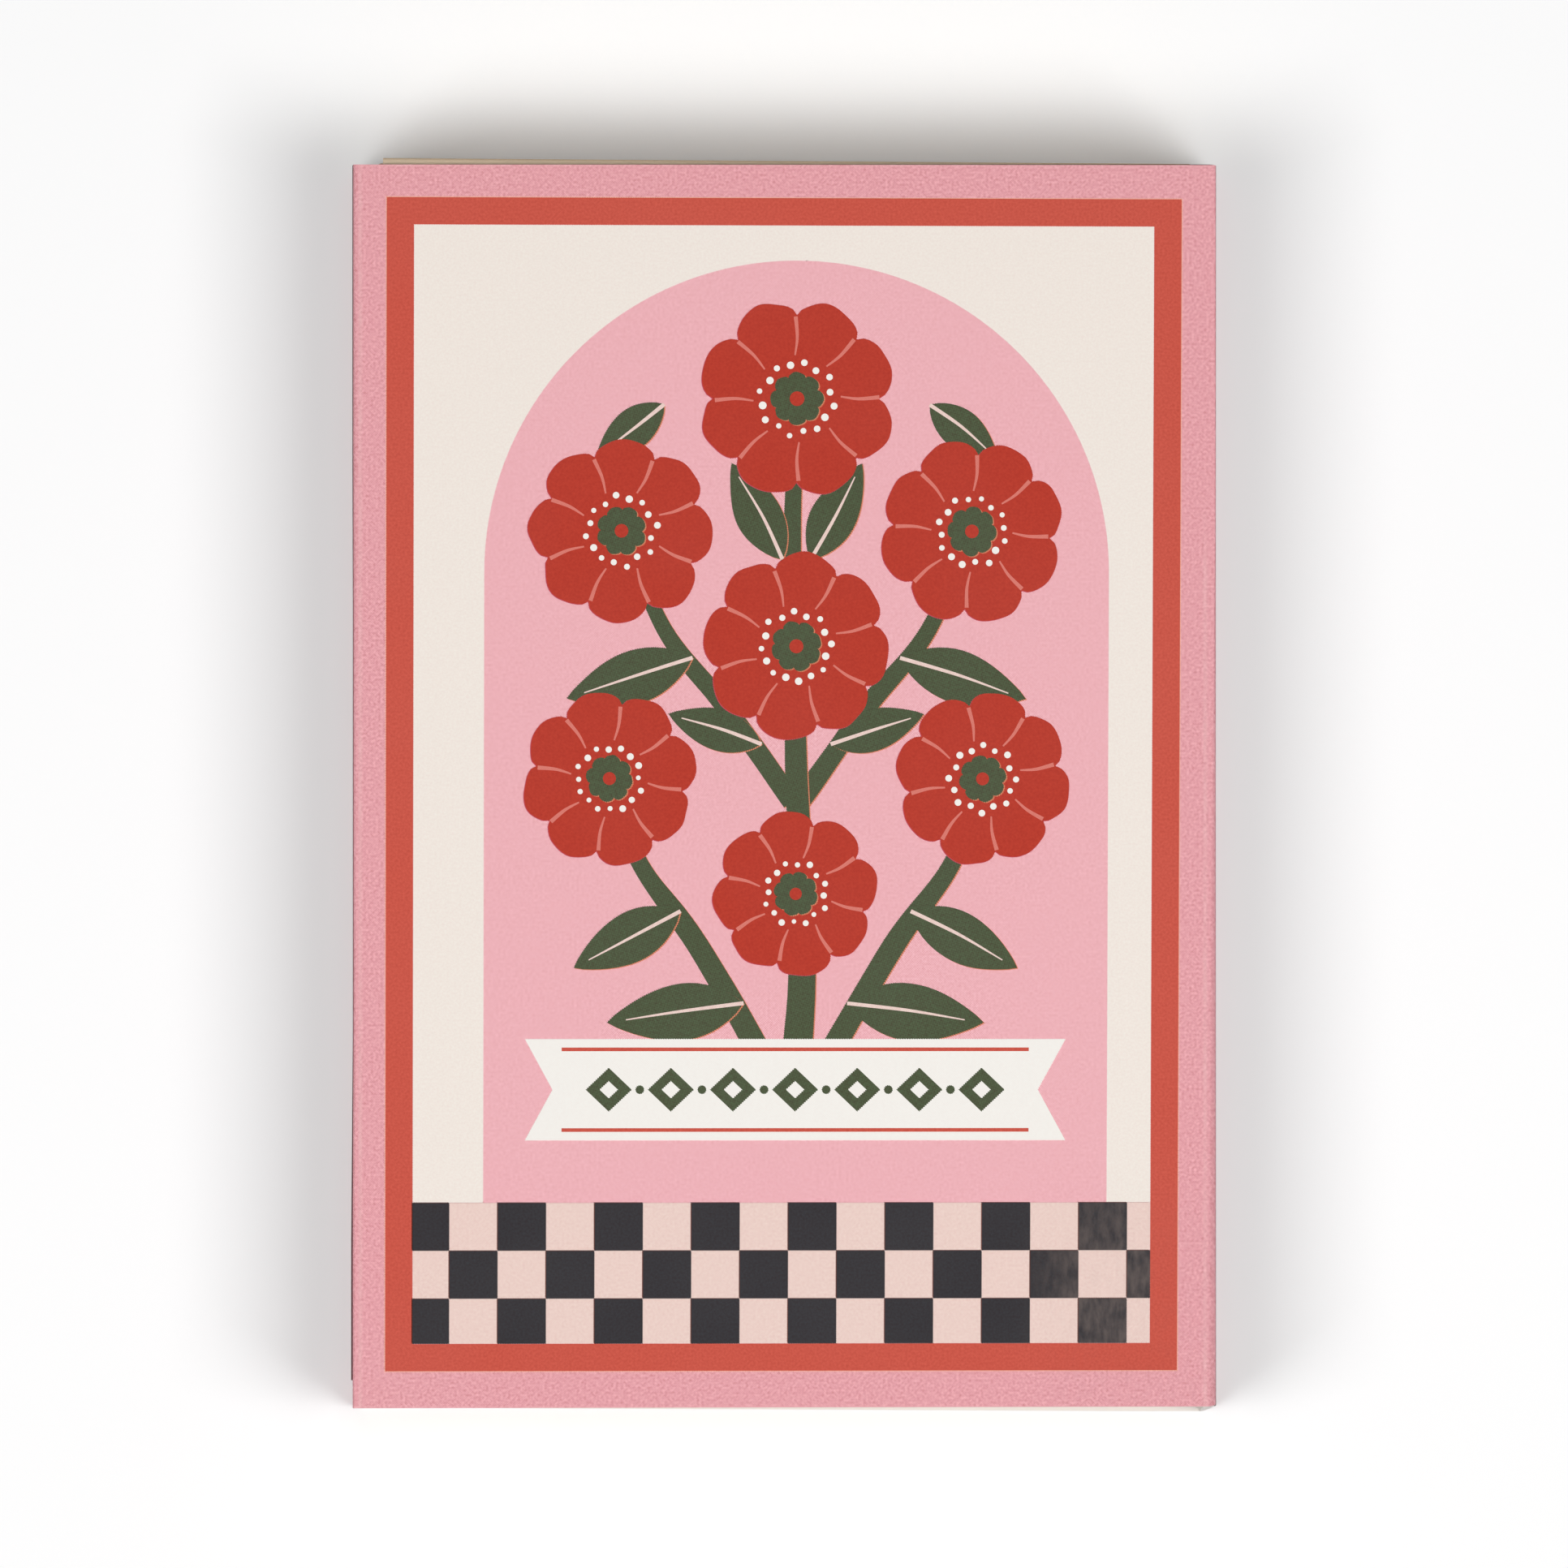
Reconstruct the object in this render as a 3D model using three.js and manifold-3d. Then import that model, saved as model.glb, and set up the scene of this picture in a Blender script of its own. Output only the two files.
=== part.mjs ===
// A slide-out box of long matches, lying on its back panel with its printed front panel up.
// Millimetres, +Z up, +Y towards the top of the print. The origin is under the middle of the box.
import * as THREE from "three";
import { mergeVertices } from "three/addons/utils/BufferGeometryUtils.js";
import Module from "manifold-3d";

const wasm = await Module();
wasm.setup();

// Sleeve: one sheet of board wrapped into a tube, its glue flap bonded inside the right wall
const sleeveWidth = 75;
const sleeveLength = 108;
const sleeveHeight = 20;
const sleeveBoard = 0.5;
const sleeveFold = 0.9;
const glueFlapWidth = 14;
const backPanelShift = 0.7;

// Tray: one sheet of thinner kraft board, its end panels rolled over the side walls' corner tabs
const trayBoard = 0.45;
const trayFold = 0.8;
const traySideGap = 0.9;
const trayUnderGap = 0.25;
const trayOverGap = 0.45;
const trayShorter = 0.4;
const trayProud = 0.34;
const trayAskew = THREE.MathUtils.degToRad(0.42);
const cornerTabLength = 12;
const rolledEdgeGap = 0.4;

// Striking strips: a rough coat on both side walls
const strikerWidth = 17;
const strikerThickness = 0.12;
const strikerShortOfEnd = 2.4;

// Matches: square splints with dipped heads, all heads at the top end of the box
const matchCount = 75;
const matchesPerRow = 20;
const joinedRowCount = 1;
const splintWidth = 2.3;
const headLength = 8;
const headBeyondSplint = 0.9;
const matchEndPlay = 4.6;
const matchGap = 0.12;
const matchScatter = 1.6;
const scatterStep = 0.618;
const headLap = 0.05;
const headProfile = [[0, 0], [0.84, 0], [1, 0.35], [0.86, 0.8], [0, 1]];

// Print on the front panel, measured from the panel's middle
const printShiftX = -0.15;
const frameWidth = 69.2;
const frameLength = 101.8;
const frameBand = 2.35;
const archWidth = 54.3;
const archTopGap = 3;
const checkPitch = 4.21;
const checkRows = 3;
const firstCheckWidth = 3.1;
const inkDepth = 0.2;

// Bouquet on the arch, as [x, y, radius]: a middle column and pairs that are mirrored
const middleBlossoms = [[0, 33.5, 8.6], [0, 12, 8.2], [0, -9.5, 7.2]];
const sideBlossoms = [[15.2, 22, 8], [16.2, 0.5, 7.6]];
const petalCount = 8;
const petalNotch = 0.16;
const eyeShare = 0.25;
const stemWidth = 2.3;
const stemTaper = 0.45;
const middleStem = [[0, -26.5], [0.6, -14], [0, 2], [-0.4, 20], [0, 33]];
const sideStems = [
  [[1.2, -26.5], [8.5, -14], [13.5, -7], [16.2, 0]],
  [[0.3, -1.5], [6, 6.5], [11.5, 13.5], [15, 22]],
];
const leafWidth = 4.6;
const sideLeaves = [
  [4.5, -19, 12, -8], [10, -11, 10.5, -28], [9, 11, 11.5, -18], [3, 3.5, 8.5, 18], [1.2, 19.5, 9.5, 62],
];
const ribbonY = -26.5;
const ribbonLength = 47;
const ribbonWidth = 8.8;
const ribbonNotch = 2.4;

// Arc quality
const foldSteps = 5;
const archSteps = 28;
const petalSteps = 4;
const stemSteps = 8;
const leafSteps = 5;
const headSides = 8;

const colours = {
  borderPink: 0xe5a4aa,
  frameRed: 0xc8594a,
  fieldCream: 0xefe5dc,
  archPink: 0xedb2b9,
  checkPale: 0xebd0c7,
  checkDark: 0x3a383c,
  blossomRed: 0xb84135,
  leafGreen: 0x505843,
  ribbonCream: 0xf0ded6,
  boardWhite: 0xf2ede8,
  kraft: 0xc6ab90,
  striker: 0x5f3c41,
  splint: 0xe3c896,
  head: 0xa8322c,
};

const axisX = new THREE.Vector3(1, 0, 0);
const axisY = new THREE.Vector3(0, 1, 0);
const axisZ = new THREE.Vector3(0, 0, 1);
const halfTurn = new THREE.Matrix4().makeScale(-1, -1, 1);

// Solids: a closed geometry as a manifold, and a manifold as a geometry
function solidOf(geometry) {
  const bare = geometry.clone();
  bare.deleteAttribute("normal");
  bare.deleteAttribute("uv");
  const merged = mergeVertices(bare, 1e-4);
  const mesh = new wasm.Mesh({
    numProp: 3,
    vertProperties: new Float32Array(merged.attributes.position.array),
    triVerts: new Uint32Array(merged.index.array),
  });
  return new wasm.Manifold(mesh);
}

function geometryOf(solid) {
  const mesh = solid.getMesh();
  const geometry = new THREE.BufferGeometry();
  geometry.setAttribute("position", new THREE.BufferAttribute(new Float32Array(mesh.vertProperties), 3));
  geometry.setIndex(new THREE.BufferAttribute(new Uint32Array(mesh.triVerts), 1));
  geometry.computeVertexNormals();
  return geometry;
}

function join(geometries) {
  return geometries.map(solidOf).reduce((whole, piece) => whole.add(piece));
}

// Prisms: a section drawn across the box, along it, or seen from above
function extrude(section, depth) {
  return new THREE.ExtrudeGeometry(section, { depth, bevelEnabled: false, curveSegments: foldSteps });
}

function alongY(section, length) {
  const turn = new THREE.Matrix4().makeBasis(axisX, axisZ, axisY.clone().negate());
  return extrude(section, length).applyMatrix4(turn).translate(0, length / 2, 0);
}

function alongX(section, length) {
  const turn = new THREE.Matrix4().makeBasis(axisY, axisZ, axisX);
  return extrude(section, length).applyMatrix4(turn).translate(-length / 2, 0, 0);
}

function upright(section, bottom, top) {
  return extrude(section, top - bottom).translate(0, 0, bottom);
}

function roundedOutline(path, left, right, bottom, top, radius) {
  path.moveTo(left + radius, bottom);
  path.lineTo(right - radius, bottom);
  path.absarc(right - radius, bottom + radius, radius, -Math.PI / 2, 0);
  path.absarc(right - radius, top - radius, radius, 0, Math.PI / 2);
  path.absarc(left + radius, top - radius, radius, Math.PI / 2, Math.PI);
  path.absarc(left + radius, bottom + radius, radius, Math.PI, 1.5 * Math.PI);
  return path;
}

// Sleeve
const sleeveInner = {
  left: -sleeveWidth / 2 + sleeveBoard,
  right: sleeveWidth / 2 - sleeveBoard,
  bottom: sleeveBoard,
  top: sleeveHeight - sleeveBoard,
};

function sleeveSection() {
  const half = sleeveWidth / 2;
  const outside = roundedOutline(new THREE.Shape(), -half, half, 0, sleeveHeight, sleeveFold);
  const { left, right, bottom, top } = sleeveInner;
  const radius = sleeveFold - sleeveBoard;
  const flapFace = right - sleeveBoard;
  const inside = new THREE.Path();
  inside.moveTo(left + radius, bottom);
  inside.lineTo(flapFace - radius, bottom);
  inside.absarc(flapFace - radius, bottom + radius, radius, -Math.PI / 2, 0);
  inside.lineTo(flapFace, bottom + glueFlapWidth);
  inside.lineTo(right, bottom + glueFlapWidth);
  inside.absarc(right - radius, top - radius, radius, 0, Math.PI / 2);
  inside.absarc(left + radius, top - radius, radius, Math.PI / 2, Math.PI);
  inside.absarc(left + radius, bottom + radius, radius, Math.PI, 1.5 * Math.PI);
  outside.holes.push(inside);
  return outside;
}

// The glued tube has racked a little, which carries the back panel towards the bottom end
function rack(geometry) {
  const slope = backPanelShift / sleeveHeight;
  const lean = new THREE.Matrix4().makeShear(0, 0, 0, 0, 0, slope);
  return geometry.applyMatrix4(lean).translate(0, -backPanelShift, 0);
}

// Print: each field is a shallow patch of the front panel, cut out by its outline and put back
function rectangle(left, right, bottom, top) {
  const shape = new THREE.Shape();
  shape.moveTo(left, bottom);
  shape.lineTo(right, bottom);
  shape.lineTo(right, top);
  shape.lineTo(left, top);
  return shape;
}

const frame = {
  left: printShiftX - frameWidth / 2,
  right: printShiftX + frameWidth / 2,
  bottom: -frameLength / 2,
  top: frameLength / 2,
};
const field = {
  left: frame.left + frameBand,
  right: frame.right - frameBand,
  bottom: frame.bottom + frameBand,
  top: frame.top - frameBand,
};
const checksTop = field.bottom + checkRows * checkPitch;

function archShape() {
  const radius = archWidth / 2;
  const springing = field.top - archTopGap - radius;
  const shape = new THREE.Shape();
  shape.moveTo(printShiftX - radius, checksTop);
  shape.lineTo(printShiftX + radius, checksTop);
  for (let step = 0; step <= archSteps; step += 1) {
    const angle = (Math.PI * step) / archSteps;
    shape.lineTo(printShiftX + radius * Math.cos(angle), springing + radius * Math.sin(angle));
  }
  return shape;
}

function darkChecks() {
  const squares = [];
  for (let row = 0; row < checkRows; row += 1) {
    const bottom = checksTop - (row + 1) * checkPitch;
    let left = field.left;
    let right = left + firstCheckWidth;
    for (let column = 0; left < field.right; column += 1) {
      if ((row + column) % 2 === 0) {
        squares.push(rectangle(left, Math.min(right, field.right), bottom, bottom + checkPitch));
      }
      left = right;
      right += checkPitch;
    }
  }
  return squares;
}

function lobedDisc([x, y, radius]) {
  const points = [];
  const steps = petalCount * petalSteps;
  for (let step = 0; step < steps; step += 1) {
    const angle = (2 * Math.PI * step) / steps;
    const lobe = Math.abs(Math.sin((petalCount * angle) / 2));
    const reach = radius * (1 - petalNotch + petalNotch * lobe);
    points.push(new THREE.Vector2(printShiftX + x + reach * Math.cos(angle), y + reach * Math.sin(angle)));
  }
  return new THREE.Shape(points);
}

function disc([x, y, radius]) {
  return new THREE.Shape().absarc(printShiftX + x, y, radius * eyeShare, 0, 2 * Math.PI);
}

function stem(route, side) {
  const curve = new THREE.SplineCurve(route.map(([x, y]) => new THREE.Vector2(printShiftX + side * x, y)));
  const left = [];
  const right = [];
  for (let step = 0; step <= stemSteps; step += 1) {
    const share = step / stemSteps;
    const point = curve.getPoint(share);
    const along = curve.getTangent(share);
    const half = (stemWidth / 2) * (1 - stemTaper * share);
    left.push(new THREE.Vector2(point.x - along.y * half, point.y + along.x * half));
    right.unshift(new THREE.Vector2(point.x + along.y * half, point.y - along.x * half));
  }
  return new THREE.Shape([...left, ...right]);
}

function leaf([x, y, length, degrees], side) {
  const turn = THREE.MathUtils.degToRad(side > 0 ? degrees : 180 - degrees);
  const root = new THREE.Vector2(printShiftX + side * x, y);
  const edge = (from, to, hand) => Array.from({ length: leafSteps }, (_, step) => {
    const share = from + ((to - from) * step) / leafSteps;
    const half = ((hand * leafWidth) / 2) * Math.sin(Math.PI * share);
    return new THREE.Vector2(length * share, half).rotateAround(new THREE.Vector2(), turn).add(root);
  });
  return new THREE.Shape([...edge(0, 1, 1), ...edge(1, 0, -1)]);
}

function ribbon() {
  const end = ribbonLength / 2;
  const fork = end - ribbonNotch;
  const half = ribbonWidth / 2;
  const corners = [[-end, -half], [end, -half], [fork, 0], [end, half], [-end, half], [-fork, 0]];
  return new THREE.Shape(corners.map(([x, y]) => new THREE.Vector2(printShiftX + x, ribbonY + y)));
}

function printFields() {
  const mirrored = sideBlossoms.map(([x, y, radius]) => [-x, y, radius]);
  const blossoms = [...middleBlossoms, ...sideBlossoms, ...mirrored];
  const bothSides = (shape, items) => items.flatMap((item) => [shape(item, 1), shape(item, -1)]);
  const inked = (outlines, colour) => outlines.map((outline) => [outline, colour]);
  return [
    [rectangle(frame.left, frame.right, frame.bottom, frame.top), colours.frameRed],
    [rectangle(field.left, field.right, field.bottom, field.top), colours.fieldCream],
    [archShape(), colours.archPink],
    [rectangle(field.left, field.right, field.bottom, checksTop), colours.checkPale],
    ...inked(darkChecks(), colours.checkDark),
    ...inked([stem(middleStem, 1), ...bothSides(stem, sideStems)], colours.leafGreen),
    ...inked(bothSides(leaf, sideLeaves), colours.leafGreen),
    ...inked(blossoms.map(lobedDisc), colours.blossomRed),
    ...inked(blossoms.map(disc), colours.leafGreen),
    [ribbon(), colours.ribbonCream],
  ];
}

function printOn(board) {
  const inks = new Map();
  let printed = board;
  for (const [outline, colour] of printFields()) {
    const punch = solidOf(upright(outline, sleeveHeight - inkDepth, sleeveHeight + inkDepth));
    const patch = printed.intersect(punch).asOriginal();
    inks.set(patch.originalID(), colour);
    printed = printed.subtract(punch).add(patch);
  }
  return { printed, inks };
}

// Colours go face by face: colourOf gets the solid a face came from, its middle and its normal
function paint(solid, colourOf) {
  const mesh = solid.getMesh();
  const geometry = geometryOf(solid).toNonIndexed();
  geometry.computeVertexNormals();
  const { position, normal } = geometry.attributes;
  const shades = new Float32Array(position.count * 3);
  const shade = new THREE.Color();
  const middle = new THREE.Vector3();
  const facing = new THREE.Vector3();
  const corner = new THREE.Vector3();
  mesh.runOriginalID.forEach((source, run) => {
    for (let first = mesh.runIndex[run]; first < mesh.runIndex[run + 1]; first += 3) {
      middle.set(0, 0, 0);
      for (let k = 0; k < 3; k += 1) {
        middle.addScaledVector(corner.fromBufferAttribute(position, first + k), 1 / 3);
      }
      facing.fromBufferAttribute(normal, first);
      shade.set(colourOf(source, middle, facing));
      for (let k = 0; k < 3; k += 1) shades.set([shade.r, shade.g, shade.b], (first + k) * 3);
    }
  });
  geometry.setAttribute("color", new THREE.BufferAttribute(shades, 3));
  return geometry;
}

// Ink on the print, pink on the rest of the outside, bare board inside and at the cut ends
function sleeveGeometry() {
  const { printed, inks } = printOn(solidOf(rack(alongY(sleeveSection(), sleeveLength))));
  const innermost = sleeveBoard * 0.75;
  return paint(printed, (source, middle, facing) => {
    if (Math.abs(facing.y) > 0.5) return colours.boardWhite;
    if (inks.has(source) && facing.z > 0.5) return inks.get(source);
    const depth = Math.min(sleeveWidth / 2 - Math.abs(middle.x), middle.z, sleeveHeight - middle.z);
    return depth < innermost ? colours.borderPink : colours.boardWhite;
  });
}

// Striking strips lie on the side walls, under the folds at the front panel
function strikerGeometry(side, bottomEnd) {
  const near = (side * sleeveWidth) / 2;
  const far = near + side * strikerThickness;
  const bottom = (sleeveHeight - strikerWidth) / 2;
  const section = rectangle(Math.min(near, far), Math.max(near, far), bottom, bottom + strikerWidth);
  const length = sleeveLength / 2 - bottomEnd;
  const strip = alongY(section, length).translate(0, (sleeveLength / 2 + bottomEnd) / 2, 0);
  return rack(strip);
}

// Tray
const tray = {
  width: sleeveInner.right - sleeveBoard - sleeveInner.left - 2 * traySideGap,
  length: sleeveLength - trayShorter,
  height: sleeveInner.top - sleeveInner.bottom - trayUnderGap - trayOverGap,
};
const endWallThickness = 3 * trayBoard;

function traySideSection() {
  const half = tray.width / 2;
  const inner = trayFold - trayBoard;
  const section = new THREE.Shape();
  section.moveTo(-half, tray.height);
  section.lineTo(-half, trayFold);
  section.absarc(-half + trayFold, trayFold, trayFold, Math.PI, 1.5 * Math.PI);
  section.absarc(half - trayFold, trayFold, trayFold, -Math.PI / 2, 0);
  section.lineTo(half, tray.height);
  section.lineTo(half - trayBoard, tray.height);
  section.absarc(half - trayFold, trayFold, inner, 0, -Math.PI / 2, true);
  section.absarc(-half + trayFold, trayFold, inner, -Math.PI / 2, -Math.PI, true);
  section.lineTo(-half + trayBoard, tray.height);
  return section;
}

// The end panel rises from the floor, rolls over at the rim and comes down inside
function trayEndSection() {
  const end = tray.length / 2;
  const inner = trayFold - trayBoard;
  const roll = endWallThickness / 2;
  const foot = end - 2 * trayFold - trayBoard;
  const section = new THREE.Shape();
  section.moveTo(foot, 0);
  section.lineTo(end - trayFold, 0);
  section.absarc(end - trayFold, trayFold, trayFold, -Math.PI / 2, 0);
  section.absarc(end - roll, tray.height - roll, roll, 0, Math.PI);
  section.lineTo(end - endWallThickness, trayBoard + rolledEdgeGap);
  section.lineTo(end - 2 * trayBoard, trayBoard + rolledEdgeGap);
  section.absarc(end - roll, tray.height - roll, roll - trayBoard, Math.PI, 0, true);
  section.lineTo(end - trayBoard, trayFold);
  section.absarc(end - trayFold, trayFold, inner, 0, -Math.PI / 2, true);
  section.lineTo(foot, trayBoard);
  return section;
}

// The side wall turns round the corner and its tab lies between the two plies of the end wall
function cornerTabSection() {
  const side = tray.width / 2;
  const end = tray.length / 2 - trayBoard;
  const inner = trayFold - trayBoard;
  const section = new THREE.Shape();
  section.moveTo(side, end - 2 * trayFold);
  section.absarc(side - trayFold, end - trayFold, trayFold, 0, Math.PI / 2);
  section.lineTo(side - cornerTabLength, end);
  section.lineTo(side - cornerTabLength, end - trayBoard);
  section.absarc(side - trayFold, end - trayFold, inner, Math.PI / 2, 0, true);
  section.lineTo(side - trayBoard, end - 2 * trayFold);
  return section;
}

function mirrorAcross(section) {
  return new THREE.Shape(section.getPoints(foldSteps).map((point) => new THREE.Vector2(-point.x, point.y)));
}

function trayGeometry() {
  const sides = alongY(traySideSection(), tray.length - 2 * (trayBoard + trayFold));
  const tabTop = tray.height - endWallThickness / 2;
  const topEnd = [
    alongX(trayEndSection(), tray.width - 2 * trayFold),
    upright(cornerTabSection(), trayFold, tabTop),
    upright(mirrorAcross(cornerTabSection()), trayFold, tabTop),
  ];
  const bottomEnd = topEnd.map((piece) => piece.clone().applyMatrix4(halfTurn));
  return geometryOf(join([sides, ...topEnd, ...bottomEnd]));
}

// Matches: local frame at the middle of the splint's tail, +Y towards the head
const matchSpace = {
  width: tray.width - 2 * trayBoard,
  length: tray.length - 2 * endWallThickness,
};
const matchLength = matchSpace.length - matchEndPlay;
const neck = matchLength - headLength;

function matchSolid(diameter) {
  const splintLength = matchLength - headBeyondSplint;
  const splint = new THREE.BoxGeometry(splintWidth, splintLength, splintWidth);
  splint.translate(0, splintLength / 2, 0);
  const radius = diameter / 2;
  const profile = headProfile.map(([across, along]) => (
    new THREE.Vector2(across * radius, neck + along * headLength)
  ));
  const head = new THREE.LatheGeometry(profile, headSides);
  return join([splint, head]);
}

function matchMatrix(row, column, order) {
  const scatter = row.joined ? 0 : ((order * scatterStep) % 1) - 0.5;
  const tail = new THREE.Vector3(
    row.firstX + column * row.pitch,
    -matchLength / 2 + scatter * matchScatter,
    row.tailHeight,
  );
  const slope = Math.asin((row.headHeight - row.tailHeight) / (matchLength - headLength / 2));
  return new THREE.Matrix4().makeRotationX(slope).setPosition(tail);
}

// Rows rest on one another: 20 and 19 by turns, each nested half a pitch aside at the heads
function matchRows() {
  const pitch = matchSpace.width / matchesPerRow;
  const rows = [];
  let left = matchCount;
  let tailHeight = trayBoard + matchGap + splintWidth / 2;
  let headHeight = trayBoard + matchGap;
  let lowerDiameter = 0;
  while (left > 0) {
    const joined = rows.length < joinedRowCount;
    const diameter = joined ? pitch + headLap : pitch - matchGap;
    const reach = (diameter + lowerDiameter) / 2 + matchGap;
    headHeight += lowerDiameter ? Math.sqrt(reach ** 2 - (pitch / 2) ** 2) : diameter / 2;
    const odd = rows.length % 2;
    const count = Math.min(left, matchesPerRow - odd);
    const firstX = ((odd - matchesPerRow + 1) * pitch) / 2;
    rows.push({ joined, diameter, count, pitch, firstX, tailHeight, headHeight });
    left -= count;
    tailHeight += splintWidth + matchGap;
    lowerDiameter = diameter;
  }
  return rows;
}

// Assembly
const cardFinish = { roughness: 0.8, metalness: 0 };
const inkFinish = { roughness: 0.55, metalness: 0 };
const gritFinish = { roughness: 0.95, metalness: 0 };
const sleeveMaterial = new THREE.MeshStandardMaterial({ vertexColors: true, ...inkFinish });
const strikerMaterial = new THREE.MeshStandardMaterial({ color: colours.striker, ...gritFinish });
const trayMaterial = new THREE.MeshStandardMaterial({ color: colours.kraft, ...cardFinish });

function named(name, geometry, material) {
  const mesh = new THREE.Mesh(geometry, material);
  mesh.name = name;
  return mesh;
}

function addMatches(carrier) {
  const woodMaterial = new THREE.MeshStandardMaterial({ vertexColors: true, ...cardFinish });
  const woodOrHead = (along) => (along > neck ? colours.head : colours.splint);
  const tail = -matchLength / 2;
  let order = 0;
  matchRows().forEach((row, level) => {
    const solid = matchSolid(row.diameter);
    const places = [];
    for (let column = 0; column < row.count; column += 1) {
      places.push(matchMatrix(row, column, order));
      order += 1;
    }
    if (row.joined) {
      const whole = join(places.map((place) => geometryOf(solid).applyMatrix4(place)));
      const painted = paint(whole, (source, middle) => woodOrHead(middle.y - tail));
      carrier.add(named(`match_row_${level + 1}`, painted, woodMaterial.clone()));
      return;
    }
    const painted = paint(solid, (source, middle) => woodOrHead(middle.y));
    places.forEach((place, column) => {
      const number = String(column + 1).padStart(2, "0");
      const match = named(`match_${level + 1}_${number}`, painted, woodMaterial.clone());
      match.applyMatrix4(place);
      carrier.add(match);
    });
  });
}

const box = new THREE.Group();
box.add(named("sleeve", sleeveGeometry(), sleeveMaterial));
box.add(named("striker_left", strikerGeometry(-1, -sleeveLength / 2 + strikerShortOfEnd), strikerMaterial));
box.add(named("striker_right", strikerGeometry(1, -sleeveLength / 2), strikerMaterial.clone()));

const drawer = new THREE.Group();
drawer.rotation.z = -trayAskew;
drawer.position.set(
  -sleeveBoard / 2,
  (sleeveLength - tray.length) / 2 + trayProud,
  sleeveInner.bottom + trayUnderGap,
);
drawer.add(named("tray", trayGeometry(), trayMaterial));
addMatches(drawer);
box.add(drawer);

export default box;
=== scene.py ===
import bmesh
import bpy
import math
import random
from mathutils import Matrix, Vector, noise
from mathutils.geometry import tessellate_polygon


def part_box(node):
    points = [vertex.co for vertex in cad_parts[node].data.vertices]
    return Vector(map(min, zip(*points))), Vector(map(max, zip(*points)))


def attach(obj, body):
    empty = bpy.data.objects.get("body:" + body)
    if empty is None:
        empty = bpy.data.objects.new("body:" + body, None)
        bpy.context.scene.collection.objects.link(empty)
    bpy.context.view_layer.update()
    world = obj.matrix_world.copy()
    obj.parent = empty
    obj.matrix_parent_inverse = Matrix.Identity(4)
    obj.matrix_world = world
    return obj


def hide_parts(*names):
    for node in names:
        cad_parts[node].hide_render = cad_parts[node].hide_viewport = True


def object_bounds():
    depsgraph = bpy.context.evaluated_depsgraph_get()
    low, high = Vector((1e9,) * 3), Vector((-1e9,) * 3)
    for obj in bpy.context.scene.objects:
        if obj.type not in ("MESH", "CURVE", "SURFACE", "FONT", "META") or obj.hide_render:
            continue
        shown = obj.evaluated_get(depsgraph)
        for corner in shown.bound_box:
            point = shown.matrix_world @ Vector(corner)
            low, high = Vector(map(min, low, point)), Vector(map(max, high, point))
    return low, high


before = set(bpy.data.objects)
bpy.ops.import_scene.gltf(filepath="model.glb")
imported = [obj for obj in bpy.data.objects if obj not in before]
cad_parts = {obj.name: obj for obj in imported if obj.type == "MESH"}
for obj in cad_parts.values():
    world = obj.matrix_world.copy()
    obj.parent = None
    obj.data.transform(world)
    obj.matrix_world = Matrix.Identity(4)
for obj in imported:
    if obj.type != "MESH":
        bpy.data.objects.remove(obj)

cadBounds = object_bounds()
mm = 0.001


# colours are given as they look on screen, 0 to 255
def inkColour(red, green, blue):
    def linear(value):
        value /= 255
        return value / 12.92 if value <= 0.04045 else ((value + 0.055) / 1.055) ** 2.4
    return (linear(red), linear(green), linear(blue), 1.0)


palette = {name: inkColour(*shade) for name, shade in {
    "borderPink": (229, 161, 168),
    "archPink": (238, 177, 184),
    "frameRed": (200, 82, 66),
    "fieldCream": (241, 231, 222),
    "checkPale": (235, 207, 198),
    "checkDark": (39, 36, 40),
    "blossomRed": (181, 53, 36),
    "petalLight": (216, 120, 108),
    "leafGreen": (71, 80, 55),
    "ribbonCream": (244, 240, 234),
    "bareBoard": (242, 237, 232),
    "kraft": (218, 188, 154),
    # pale kraft for the edges; at the top edge it is also a painted highlight
    "kraftPaleAndLit": (252, 228, 198),
    "striker": (95, 60, 65),
    "splint": (232, 208, 162),
    "head": (158, 48, 44),
    "trapOrange": (214, 128, 96),
    "trapMagenta": (190, 70, 86),
    "trapBrown": (112, 62, 52),
    "trapPeach": (238, 176, 158),
    # a pale line along the folds, cracked ink and painted highlight; at the cut ends cracked ink
    # only
    "crackedInkAndHighlight": (240, 205, 203),
    # a painted sheen, in streaks, over the dark checks by the lower right corner
    "paintedSheenInk": (102, 90, 86),
}.items()}

# Helpers for objects, meshes and nodes

def addItem(name, data):
    item = bpy.data.objects.new(name, data)
    bpy.context.scene.collection.objects.link(item)
    return item


def closeWork(work, name, *materials):
    # the finished mesh, with its faces turned outwards
    bmesh.ops.recalc_face_normals(work, faces=work.faces)
    mesh = bpy.data.meshes.new(name)
    work.to_mesh(mesh)
    work.free()
    for material in materials:
        mesh.materials.append(material)
    return mesh


def fill(tree, node, inputs):
    # a socket among the inputs is linked, and any other value is set
    for label, value in inputs.items():
        if isinstance(value, bpy.types.NodeSocket):
            tree.links.new(value, node.inputs[label])
        else:
            node.inputs[label].default_value = value


def addNode(tree, kind, inputs, **choices):
    node = tree.nodes.new(kind)
    for label, choice in choices.items():
        setattr(node, label, choice)
    fill(tree, node, inputs)
    return node.outputs


def mathNode(tree, operation, *values):
    return addNode(tree, "ShaderNodeMath", dict(enumerate(values)), operation=operation)[0]


def times(tree, first, *others):
    for other in others:
        first = mathNode(tree, "MULTIPLY", first, other)
    return first


def clamped(value):
    return max(0.0, min(1.0, value))


def polar(x, y, reach, angle):
    return (x + reach * math.cos(angle), y + reach * math.sin(angle))


# Camera and light

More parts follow.
